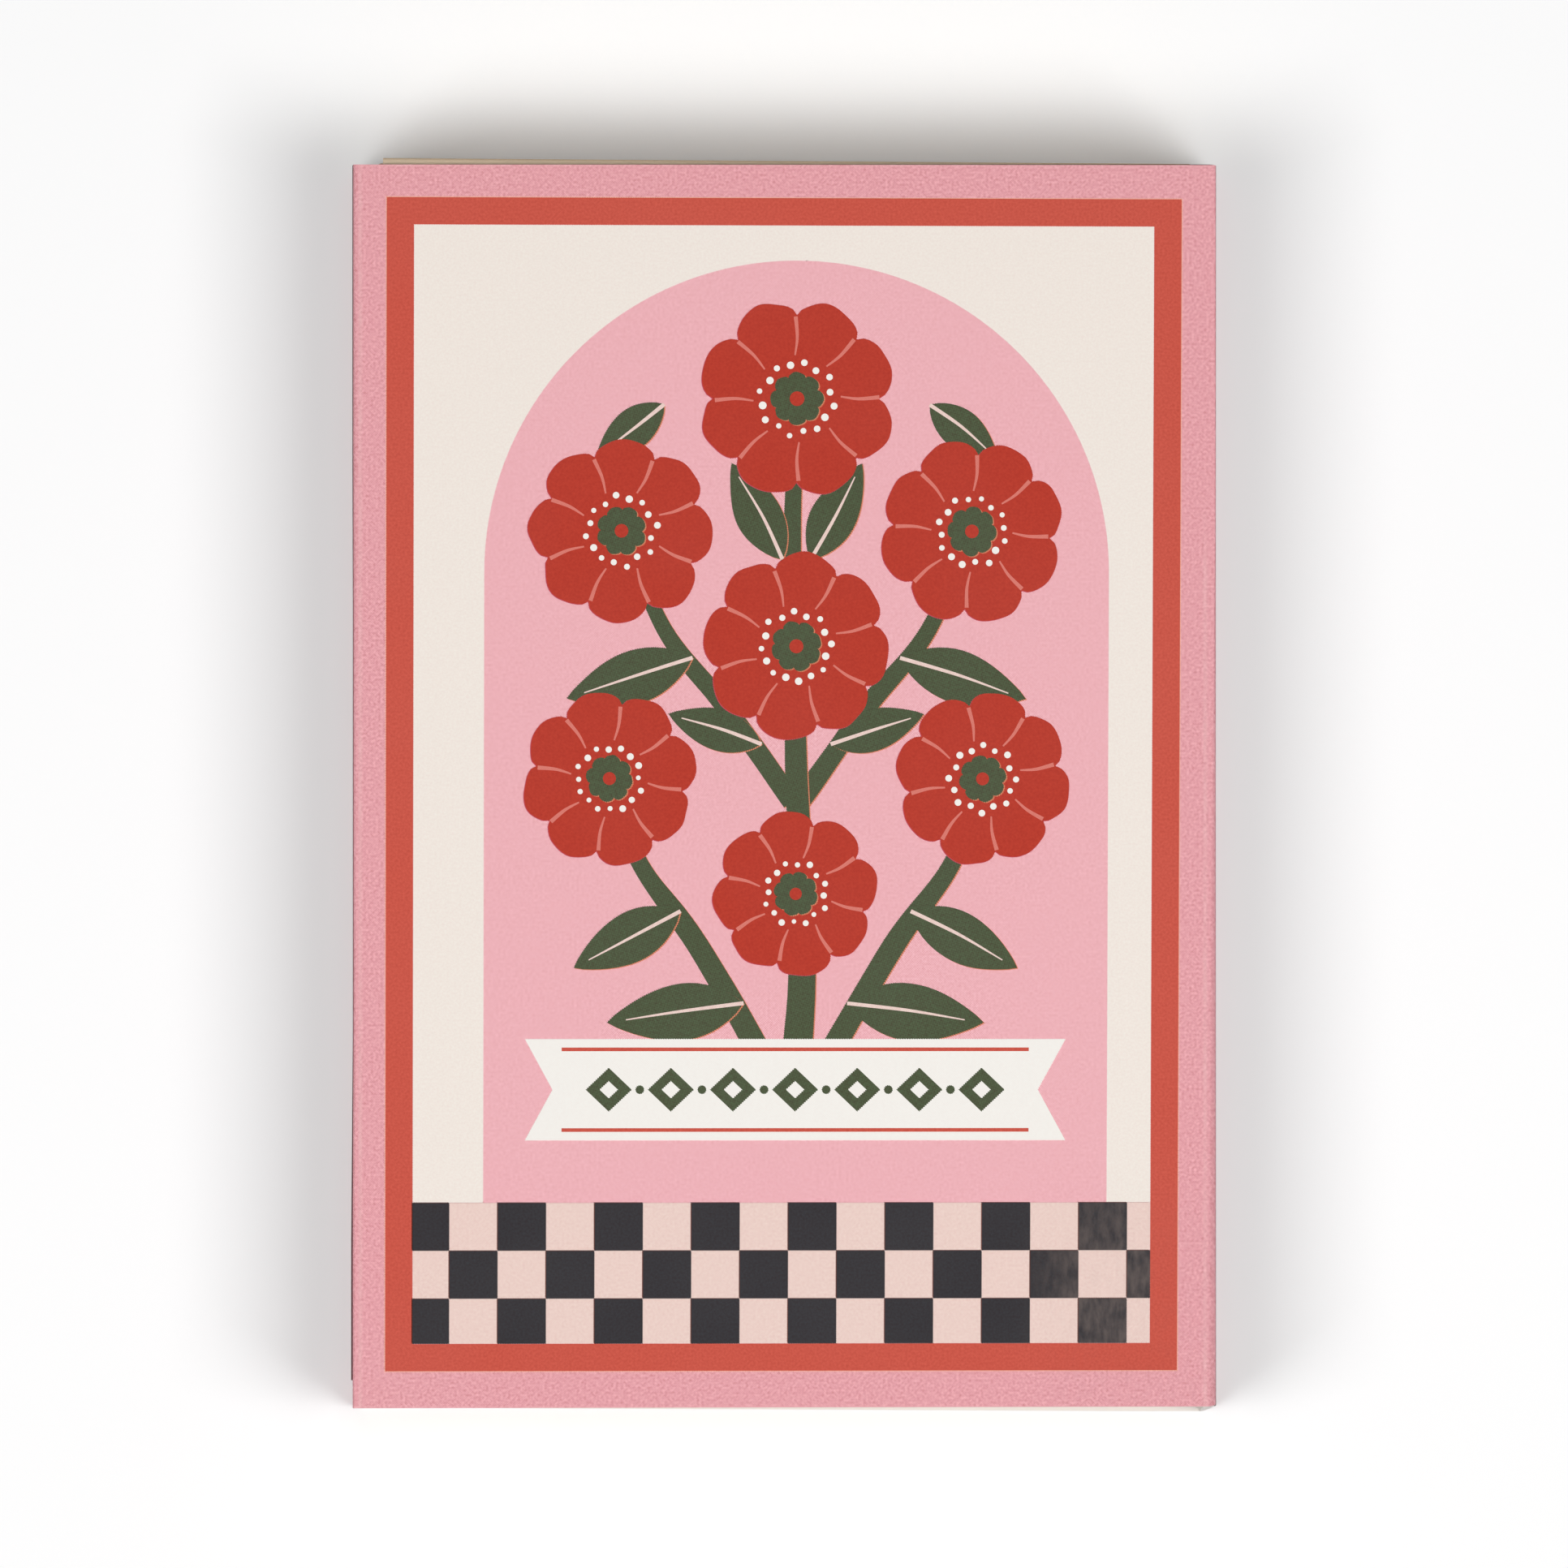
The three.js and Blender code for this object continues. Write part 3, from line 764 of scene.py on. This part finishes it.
def onSheet(x, y):
    # a place in the artwork, carried to where the crooked sheet has it
    taperX, taperY = printSettings["taper"]
    return (x * (1 + taperX * y) + printSettings["lean"] * y,
            y * (1 + taperY * x) + printSettings["dip"] * x + printSettings["shiftY"])


def layFilm(name, fields, level, finish, offset=(0, 0), screened=True):
    # fields: a list of (outline, holes); level 0 is the ink nearest the board
    thickness = printSettings["filmThickness"]
    low = sleeveHigh.z - 0.5 * thickness * mm
    high = sleeveHigh.z + (level + 1) * thickness * mm
    work = bmesh.new()
    for outline, holes in fields:
        loops = [outline if signedArea(outline) > 0 else outline[::-1]]
        loops += [hole if signedArea(hole) < 0 else hole[::-1] for hole in holes]
        if screened:
            loops = [serrate(loop) for loop in loops]
        lower, upper = [], []
        for x, y in (point for loop in loops for point in loop):
            x, y = onSheet(x + offset[0], y + offset[1])
            lower.append(work.verts.new((x * mm, y * mm, low)))
            upper.append(work.verts.new((x * mm, y * mm, high)))
        for a, b, c in tessellate_polygon([[Vector((x, y, 0)) for x, y in loop] for loop in loops]):
            work.faces.new((upper[a], upper[b], upper[c]))
            work.faces.new((lower[c], lower[b], lower[a]))
        start = 0
        for loop in loops:
            for index in range(len(loop)):
                here, after = start + index, start + (index + 1) % len(loop)
                work.faces.new((lower[here], lower[after], upper[after], upper[here]))
            start += len(loop)
    film = addItem(name, closeWork(work, name, finish))
    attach(film, "sleeve")


def whole(outlines):
    # fields without holes
    return [(outline, []) for outline in outlines]


def printFrameBox(inset):
    halfWidth = printSettings["frameWidth"] / 2 - inset
    halfLength = printSettings["frameLength"] / 2 - inset
    shift = printSettings["shiftX"]
    return shift - halfWidth, shift + halfWidth, -halfLength, halfLength


def archOutline():
    left, right, bottom, top = printFrameBox(printSettings["frameBand"])
    checksTop = bottom + printSettings["checksHeight"]
    radius = printSettings["archWidth"] / 2
    springing = top - printSettings["archTopGap"] - radius
    middle, steps = printSettings["archX"], printSettings["archSteps"]
    outline = [(middle - radius, checksTop), (middle + radius, checksTop)]
    for step in range(steps + 1):
        outline.append(polar(middle, springing, radius, math.pi * step / steps))
    return outline


def darkChecks(left, right, bottom, top):
    pitch, rowPitch = printSettings["checkPitch"]
    checks = []
    for row in range(math.ceil((top - bottom) / rowPitch)):
        rowTop = top - row * rowPitch
        rowBottom = max(bottom, rowTop - rowPitch)
        start, end = left, left + printSettings["firstCheckWidth"]
        column = 0
        while start < right - 0.01:
            if (row + column) % 2 == 0:
                checks.append(rectangle(start, min(end, right), rowBottom, rowTop))
            start, end = end, end + pitch
            column += 1
    return whole(checks)


def layBorders():
    left, right, bottom, top = printFrameBox(printSettings["frameBand"])
    checksTop = bottom + printSettings["checksHeight"]
    window = rectangle(left, right, bottom, top)
    edge = rectangle(*printFrameBox(-printSettings["edgeShows"]))
    layFilm("printFrameEdge", [(edge, [window])], 0, finishes["trapPeach"])
    layFilm("printFrame", [(rectangle(*printFrameBox(0)), [window])], 1, finishes["frameRed"])
    arch = archOutline()
    layFilm("printArch", whole([arch]), 0, finishes["archPink"])
    cream = [(left, checksTop), arch[0]] + arch[:1:-1]
    cream += [arch[1], (right, checksTop), (right, top), (left, top)]
    layFilm("printField", whole([cream]), 0, finishes["fieldCream"])
    ground = rectangle(left, right, bottom, checksTop)
    dark = darkChecks(left, right, bottom, checksTop)
    layFilm("printChecksPale", whole([ground]), 0, finishes["checkPale"])
    layFilm("printChecksBrown", dark, 1, finishes["trapBrown"], printSettings["checkMisfit"])
    layFilm("printChecksDark", dark, 2, finishes["checkDark"])


# Flower motif standing in the arch

bouquetSettings = {
    "seed": 11,
    # x, y and radius of each
    "blossoms": [(0, 33.5, 8.6), (-15.2, 22.0, 8.0), (15.2, 22.0, 8.0), (0, 12.0, 8.2),
                 (-16.2, 0.5, 7.6), (16.2, 0.5, 7.6), (0, -9.5, 7.2)],
    "blossomTurn": 0.35,            # from one blossom to the next
    "petals": 8,
    "petalGap": [(0.44, 0.05), (0.62, 0.0), (0.83, 0.02)],   # shares of the radius, and bend
    "petalGapWidths": [0.14, 0.26, 0.36],
    # shares of the radius
    "stamenReach": (0.34, 0.38),
    "stamenSize": 0.034,
    "eyeSize": 0.27,
    "heartSize": 0.075,
    "handWobble": 0.035,            # the cut-paper unevenness of each outline
    "misfit": (0.09, -0.06),        # how far the green plate lies off the others
    "redMisfit": (-0.06, -0.05),
    "stems": [[(0, -26.5), (0.6, -14), (0, 2), (-0.4, 20), (0, 33)],
              [(1.2, -26.5), (8.5, -14), (13.5, -7), (16.2, 0)],
              [(0.3, -1.5), (6, 6.5), (11.5, 13.5), (15, 22)]],
    "stemWidths": [[2.6, 2.3, 1.9, 1.6, 1.2], [2.1, 1.9, 1.5, 1.1], [1.8, 1.7, 1.4, 1.0]],
    # x, y, length, width and slant of each
    "leaves": [(4.5, -19, 12, 5.2, -8), (10, -11, 10.5, 4.6, -28), (9, 11, 11.5, 4.8, -18),
               (3, 3.5, 8.5, 3.8, 18), (1.2, 19.5, 9.5, 4.2, 62), (11.5, 33, 7.5, 3.6, -38)],
    "veinReach": 0.86,
    "veinBend": (0.2, 0.1),
    "veinWidths": [0.34, 0.26, 0.1],
}


def wobble(x, y, seed):
    spot = Vector((x, y, 0)) * 1.9 + Vector((seed * 7.3, 0, 0))
    return 1 + bouquetSettings["handWobble"] * noise.noise(spot)


def blossomOutline(x, y, radius, turn):
    petals = bouquetSettings["petals"]
    outline = []
    for step in range(petals * 16):
        angle = 2 * math.pi * step / (petals * 16)
        lobe = abs(math.sin(petals * angle / 2)) ** 0.6
        reach = radius * (0.84 + 0.16 * lobe)
        reach *= wobble(2 * math.cos(angle), 2 * math.sin(angle), x + y)
        outline.append(polar(x, y, reach, angle + turn))
    return outline


def circleOutline(x, y, radius, steps):
    return [polar(x, y, radius, 2 * math.pi * k / steps) for k in range(steps)]


def curvePoint(a, b, c, d, t):
    # a smooth path through b and c
    return 0.5 * (2 * b + (c - a) * t + (2 * a - 5 * b + 4 * c - d) * t * t
                  + (3 * b - a - 3 * c + d) * t ** 3)


def strokeOutline(points, widths, seed=0):
    # a brush stroke along a smooth path, its width given at each point
    samples = []
    padded = [points[0]] + points + [points[-1]]
    wide = [widths[0]] + widths + [widths[-1]]
    for index in range(1, len(padded) - 2):
        corners = [padded[k] + (wide[k],) for k in range(index - 1, index + 3)]
        for step in range(10):
            samples.append(tuple(curvePoint(*values, step / 10) for values in zip(*corners)))
    samples.append(points[-1] + (widths[-1],))
    left, right = [], []
    for index, (x, y, width) in enumerate(samples):
        before, after = samples[max(0, index - 1)], samples[min(len(samples) - 1, index + 1)]
        along = Vector((after[0] - before[0], after[1] - before[1])).normalized()
        for edge, side in ((left, 1), (right, -1)):
            half = side * width / 2 * (3 * wobble(0.1 * x, 0.1 * y, seed + side) - 2)
            edge.append((x - along.y * half, y + along.x * half))
    return left + right[::-1]


def leafOutline(x, y, length, width, turn):
    outline = []
    for side in (1, -1):
        for step in range(16):
            t = step / 16 if side > 0 else 1 - step / 16
            bulge = side * width / 2 * math.sin(math.pi * t) ** 0.8 * (1.15 - 0.4 * t)
            bulge *= 2 * wobble(t, side, x + y) - 1
            outline.append((x + length * t * math.cos(turn) - bulge * math.sin(turn),
                            y + length * t * math.sin(turn) + bulge * math.cos(turn)))
    return outline


def layGreen(name, outlines, level):
    # the paler edge that shows beside the green where its plate was off
    layFilm(name + "Edge", whole(outlines), level, finishes["trapOrange"],
            bouquetSettings["misfit"])
    layFilm(name, whole(outlines), level + 1, finishes["leafGreen"])


def layStems():
    shift = printSettings["archX"]
    routes = list(zip(bouquetSettings["stems"], bouquetSettings["stemWidths"]))
    bendX, bendY = bouquetSettings["veinBend"]
    branches, leaves, veins = [], [], []
    for side in (-1, 1):
        for route, widths in routes[1:]:
            branches.append(strokeOutline([(shift + side * x, y) for x, y in route], widths, side))
        for x, y, length, width, slant in bouquetSettings["leaves"]:
            angle = math.radians(slant if side > 0 else 180 - slant)
            start = (shift + side * x, y)
            leaves.append(leafOutline(*start, length, width, angle))
            tip = polar(*start, bouquetSettings["veinReach"] * length, angle)
            middle = ((start[0] + tip[0]) / 2 + bendX, (start[1] + tip[1]) / 2 + bendY)
            veins.append(strokeOutline([start, middle, tip], bouquetSettings["veinWidths"]))
    route, widths = routes[0]
    layGreen("printBranches", branches, 1)
    layGreen("printStem", [strokeOutline([(shift + x, y) for x, y in route], widths)], 3)
    layGreen("printLeaves", leaves, 5)
    layFilm("printVeins", whole(veins), 7, finishes["checkPale"], screened=False)


def layBlossoms():
    chance = random.Random(bouquetSettings["seed"])
    petals = bouquetSettings["petals"]
    red, gaps, eyes, stamens, hearts = [], [], [], [], []
    for number, (x, y, radius) in enumerate(bouquetSettings["blossoms"]):
        x, turn = x + printSettings["archX"], bouquetSettings["blossomTurn"] * number
        red.append(blossomOutline(x, y, radius, turn))
        for k in range(petals):
            split = turn + 2 * math.pi * k / petals
            path = [polar(x, y, share * radius, split + bend)
                    for share, bend in bouquetSettings["petalGap"]]
            gaps.append(strokeOutline(path, bouquetSettings["petalGapWidths"]))
        for k in range(2 * petals):
            angle = turn + math.pi * (k + 0.5) / petals
            reach = radius * bouquetSettings["stamenReach"][k % 2] * chance.uniform(0.96, 1.04)
            size = bouquetSettings["stamenSize"] * radius * chance.uniform(0.8, 1.2)
            stamens.append(circleOutline(*polar(x, y, reach, angle), size, 12))
        eyes.append(blossomOutline(x, y, bouquetSettings["eyeSize"] * radius, turn + 0.4))
        hearts.append(circleOutline(x, y, bouquetSettings["heartSize"] * radius, 16))
    layFilm("printBlossomsMagenta", whole(red), 7, finishes["trapMagenta"],
            bouquetSettings["redMisfit"])
    layFilm("printBlossoms", whole(red), 8, finishes["blossomRed"])
    layFilm("printPetalGaps", whole(gaps), 9, finishes["petalLight"], screened=False)
    layFilm("printStamens", whole(stamens), 9, finishes["ribbonCream"], screened=False)
    layGreen("printEyes", eyes, 9)
    layFilm("printHearts", whole(hearts), 11, finishes["blossomRed"], screened=False)


plaqueSettings = {
    "y": -26.5,
    "halfWidth": 23.5,
    "halfHeight": 4.4,
    "notch": 2.4,
    "ruleInset": (3.2, 0.9),        # from the ribbon's ends, and from its long edges
    "ruleHalf": 0.16,
    "pitch": 5.4,
    "perSide": 3,
    "lozenge": (2.0, 1.9),
    "lozengeHole": (0.8, 0.75),
    "dot": 0.38,
}


def lozenge(x, y, size):
    return [(x - size[0], y), (x, y - size[1]), (x + size[0], y), (x, y + size[1])]


def layPlaque():
    shift, middle = printSettings["archX"], plaqueSettings["y"]
    half, high = plaqueSettings["halfWidth"], plaqueSettings["halfHeight"]
    notch, pitch = plaqueSettings["notch"], plaqueSettings["pitch"]
    ribbon = rectangle(shift - half, shift + half, middle - high, middle + high)
    ribbon.insert(2, (shift + half - notch, middle))
    ribbon.append((shift - half + notch, middle))
    layFilm("printRibbon", whole([ribbon]), 8, finishes["ribbonCream"])
    rules, lozenges = [], []
    insetX, insetY = plaqueSettings["ruleInset"]
    thin = plaqueSettings["ruleHalf"]
    for side in (-1, 1):
        edge = middle + side * (high - insetY)
        rules.append(rectangle(shift - half + insetX, shift + half - insetX,
                               edge - thin, edge + thin))
    for k in range(-plaqueSettings["perSide"], plaqueSettings["perSide"] + 1):
        x = shift + k * pitch
        lozenges.append((lozenge(x, middle, plaqueSettings["lozenge"]),
                         [lozenge(x, middle, plaqueSettings["lozengeHole"])]))
        if k < plaqueSettings["perSide"]:
            lozenges += whole([circleOutline(x + pitch / 2, middle, plaqueSettings["dot"], 14)])
    layFilm("printRibbonRules", whole(rules), 9, finishes["frameRed"], screened=False)
    layFilm("printRibbonLozenges", lozenges, 9, finishes["leafGreen"])


# Striking strips follow the bowed side walls

def buildStriker(name, node, side):
    low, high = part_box(node)
    work = bmesh.new()
    near, far = (low.x, high.x) if side > 0 else (high.x, low.x)
    edge = sleeveHigh.x if side > 0 else sleeveLow.x
    lengthSteps, heightSteps = 44, 10
    firstShare = max(0.0, (low.y - sleeveLow.y) / (sleeveHigh.y - sleeveLow.y))
    layers = []
    for x in (near, far):
        grid = []
        for i in range(lengthSteps + 1):
            share = firstShare + (1 - firstShare) * i / lengthSteps
            row = []
            for j in range(heightSteps + 1):
                z = low.z + (high.z - low.z) * j / heightSteps
                spot = (x + wallBow(edge, z, share), rackedY(edge, share, z), z)
                row.append(work.verts.new(spot))
            grid.append(row)
        layers.append(grid)
    inner, outer = layers
    quads = [(grid[i][j], grid[i][j + 1], grid[i + 1][j + 1], grid[i + 1][j])
             for grid in layers for i in range(lengthSteps) for j in range(heightSteps)]
    quads += [(inner[i][j], inner[i + 1][j], outer[i + 1][j], outer[i][j])
              for i in range(lengthSteps) for j in (0, heightSteps)]
    quads += [(inner[i][j], inner[i][j + 1], outer[i][j + 1], outer[i][j])
              for j in range(heightSteps) for i in (0, lengthSteps)]
    for corners in quads:
        work.faces.new(corners)
    strip = addItem(name, closeWork(work, name, finishes["striker"]))
    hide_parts(node)
    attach(strip, "sleeve")


# Matches, one scattered copy of the splint and the head for each match

matchSettings = {
    "splintWidth": 2.3 * mm,
    "splintChamfer": 0.18 * mm,
    "splintShort": 0.2 * mm,        # the splint ends this far inside its head
    "headLength": 8.0 * mm,
    "headBeyond": 0.9 * mm,
    "headDiameter": 3.42 * mm,
    "headSides": 14,
    "headLump": 0.05,
    "lengthVaries": (0.88, 1.04),
    "widthVaries": (0.94, 0.99),
    # turn jitter and seed of the copies
    "splintCopies": (0.03, 3),
    "headCopies": (3.0, 4),
    "seed": 7,
}


def matchPlaces():
    # tail centre and tip of each match, from the corners of the solids
    places = []
    for name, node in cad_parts.items():
        if not name.startswith("match_"):
            continue
        low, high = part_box(name)
        corners = sorted({tuple(round(value, 6) for value in vertex.co)
                          for vertex in node.data.vertices})
        tails = [Vector(spot) for spot in corners if spot[1] < (low.y + high.y) / 2]
        tips = [Vector(spot) for spot in corners if spot[1] > high.y - 0.65 * mm]
        perMatch = len(tails) // len(tips)
        for index, tip in enumerate(tips):
            ends = tails[index * perMatch:(index + 1) * perMatch]
            places.append((sum(ends, Vector()) / perMatch, tip))
    return places


def splintMesh():
    # its length is 1, and each copy is stretched to its own
    width = matchSettings["splintWidth"]
    work = bmesh.new()
    bmesh.ops.create_cube(work, size=1.0)
    bmesh.ops.scale(work, vec=(width, 1.0, width), verts=work.verts)
    bmesh.ops.translate(work, vec=(0, 0.5, 0), verts=work.verts)
    long = [edge for edge in work.edges if abs(edge.verts[0].co.y - edge.verts[1].co.y) > 0.5]
    bmesh.ops.bevel(work, geom=long, offset=matchSettings["splintChamfer"], segments=1,
                    affect="EDGES")
    return closeWork(work, "splintForm")


def headMesh(seed):
    # unit radius and unit length, blunt tip, slightly lumpy
    profile = [(0.0, 0.0), (0.72, 0.0), (0.86, 0.08), (0.98, 0.24), (1.0, 0.42), (0.97, 0.6),
               (0.88, 0.76), (0.68, 0.9), (0.4, 0.97), (0.0, 1.0)]
    sides = matchSettings["headSides"]
    work = bmesh.new()
    rings = []
    for radius, along in profile:
        if radius == 0.0:
            rings.append([work.verts.new((0, along, 0))])
            continue
        ring = []
        for k in range(sides):
            angle = 2 * math.pi * k / sides
            spot = Vector((math.cos(angle), along * 2.4, math.sin(angle))) + Vector((seed, 0, 0))
            lump = 1 + matchSettings["headLump"] * noise.noise(spot)
            ring.append(work.verts.new((radius * lump * math.sin(angle), along,
                                        radius * lump * math.cos(angle))))
        rings.append(ring)
    for lower, upper in zip(rings, rings[1:]):
        for k in range(sides):
            a, b = lower[k % len(lower)], lower[(k + 1) % len(lower)]
            c, d = upper[(k + 1) % len(upper)], upper[k % len(upper)]
            # a ring of one point gives a triangle
            corners = list(dict.fromkeys((a, b, c, d)))
            work.faces.new(corners).smooth = True
    return closeWork(work, "headForm")


def copiesTree(name, material):
    # puts the form on every point, turned and stretched by the point's own values
    tree = bpy.data.node_groups.new(name, "GeometryNodeTree")
    for label, kind in (("Points", "Geometry"), ("Form", "Object"), ("Turn Jitter", "Float"),
                        ("Seed", "Int")):
        tree.interface.new_socket(label, in_out="INPUT", socket_type="NodeSocket" + kind)
    tree.interface.new_socket("Geometry", in_out="OUTPUT", socket_type="NodeSocketGeometry")
    entry = tree.nodes.new("NodeGroupInput").outputs
    form = addNode(tree, "GeometryNodeObjectInfo", {"Object": entry["Form"]})["Geometry"]
    slope, stretch = (addNode(tree, "GeometryNodeInputNamedAttribute", {"Name": label},
                              data_type="FLOAT_VECTOR")["Attribute"]
                      for label in ("slope", "stretch"))
    jitter = entry["Turn Jitter"]
    roll = addNode(tree, "FunctionNodeRandomValue",
                   {2: times(tree, jitter, -1.0), 3: jitter, "Seed": entry["Seed"]},
                   data_type="FLOAT")[1]
    spin = addNode(tree, "ShaderNodeCombineXYZ", {"Y": roll})[0]
    copies = addNode(tree, "GeometryNodeInstanceOnPoints",
                     {"Points": entry["Points"], "Instance": form, "Rotation": slope,
                      "Scale": stretch})[0]
    turned = addNode(tree, "GeometryNodeRotateInstances",
                     {"Instances": copies, "Rotation": spin})[0]
    tone = addNode(tree, "FunctionNodeRandomValue", {"Seed": entry["Seed"]},
                   data_type="FLOAT")[1]
    marked = addNode(tree, "GeometryNodeStoreNamedAttribute",
                     {"Geometry": turned, "Name": "tone", "Value": tone}, domain="INSTANCE")[0]
    real = addNode(tree, "GeometryNodeRealizeInstances", {0: marked})[0]
    painted = addNode(tree, "GeometryNodeSetMaterial", {0: real, "Material": material})[0]
    addNode(tree, "NodeGroupOutput", {0: painted})
    return tree


def socketId(tree, label):
    return next(item.identifier for item in tree.interface.items_tree if item.name == label)


def scatterCopies(name, form, material, points, turnJitter, seed):
    # points: (place, slope, stretch)
    base = bpy.data.meshes.new(name + "Points")
    base.from_pydata([tuple(place) for place, slope, stretch in points], [], [])
    for label, column in (("slope", 1), ("stretch", 2)):
        values = base.attributes.new(label, "FLOAT_VECTOR", "POINT")
        for index, point in enumerate(points):
            values.data[index].vector = point[column]
    carrier = addItem(name + "Points", base)
    original = addItem(name + "Form", form)
    tree = copiesTree(name + "Copies", material)
    modifier = carrier.modifiers.new("copies", "NODES")
    modifier.node_group = tree
    modifier[socketId(tree, "Form")] = original
    modifier[socketId(tree, "Turn Jitter")] = turnJitter
    modifier[socketId(tree, "Seed")] = seed
    bpy.context.view_layer.update()
    evaluated = carrier.evaluated_get(bpy.context.evaluated_depsgraph_get())
    mesh = bpy.data.meshes.new_from_object(evaluated)
    mesh.name = name
    carrier.modifiers.remove(modifier)
    for item in (carrier, original):
        bpy.data.objects.remove(item)
    return addItem(name, mesh)


def buildMatches():
    chance = random.Random(matchSettings["seed"])
    splints, heads = [], []
    radius, varies = matchSettings["headDiameter"] / 2, matchSettings["widthVaries"]
    for tail, tip in matchPlaces():
        along = tip - tail
        turn = (math.asin(along.z / along.length), 0, -math.atan2(along.x, along.y))
        splintLength = along.length - matchSettings["headBeyond"] - matchSettings["splintShort"]
        splints.append((tail, turn, (1, splintLength, 1)))
        length = matchSettings["headLength"] * chance.uniform(*matchSettings["lengthVaries"])
        start = tail + along.normalized() * (along.length - length)
        stretch = (radius * chance.uniform(*varies), length, radius * chance.uniform(*varies))
        heads.append((start, turn, stretch))
    body = scatterCopies("matchSplints", splintMesh(), finishes["splint"], splints,
                         *matchSettings["splintCopies"])
    tips = scatterCopies("matchHeads", headMesh(5), finishes["head"], heads,
                         *matchSettings["headCopies"])
    nodes = [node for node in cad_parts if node.startswith("match_")]
    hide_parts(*nodes)
    for item in (body, tips):
        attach(item, "tray")


def finishTray():
    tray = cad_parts["tray"]
    tray.data.materials.clear()
    tray.data.materials.append(finishes["kraft"])


buildCamera()
buildLamps()
buildWorld()
buildFloor()
print("studio ready")
buildSleeve()
layBorders()
layStems()
layBlossoms()
layPlaque()
print("sleeve and print ready")
buildStriker("strikerLeft", "striker_left", -1)
buildStriker("strikerRight", "striker_right", 1)
finishTray()
buildMatches()
print("tray and matches ready")

bpy.context.scene.view_settings.view_transform = "Standard"
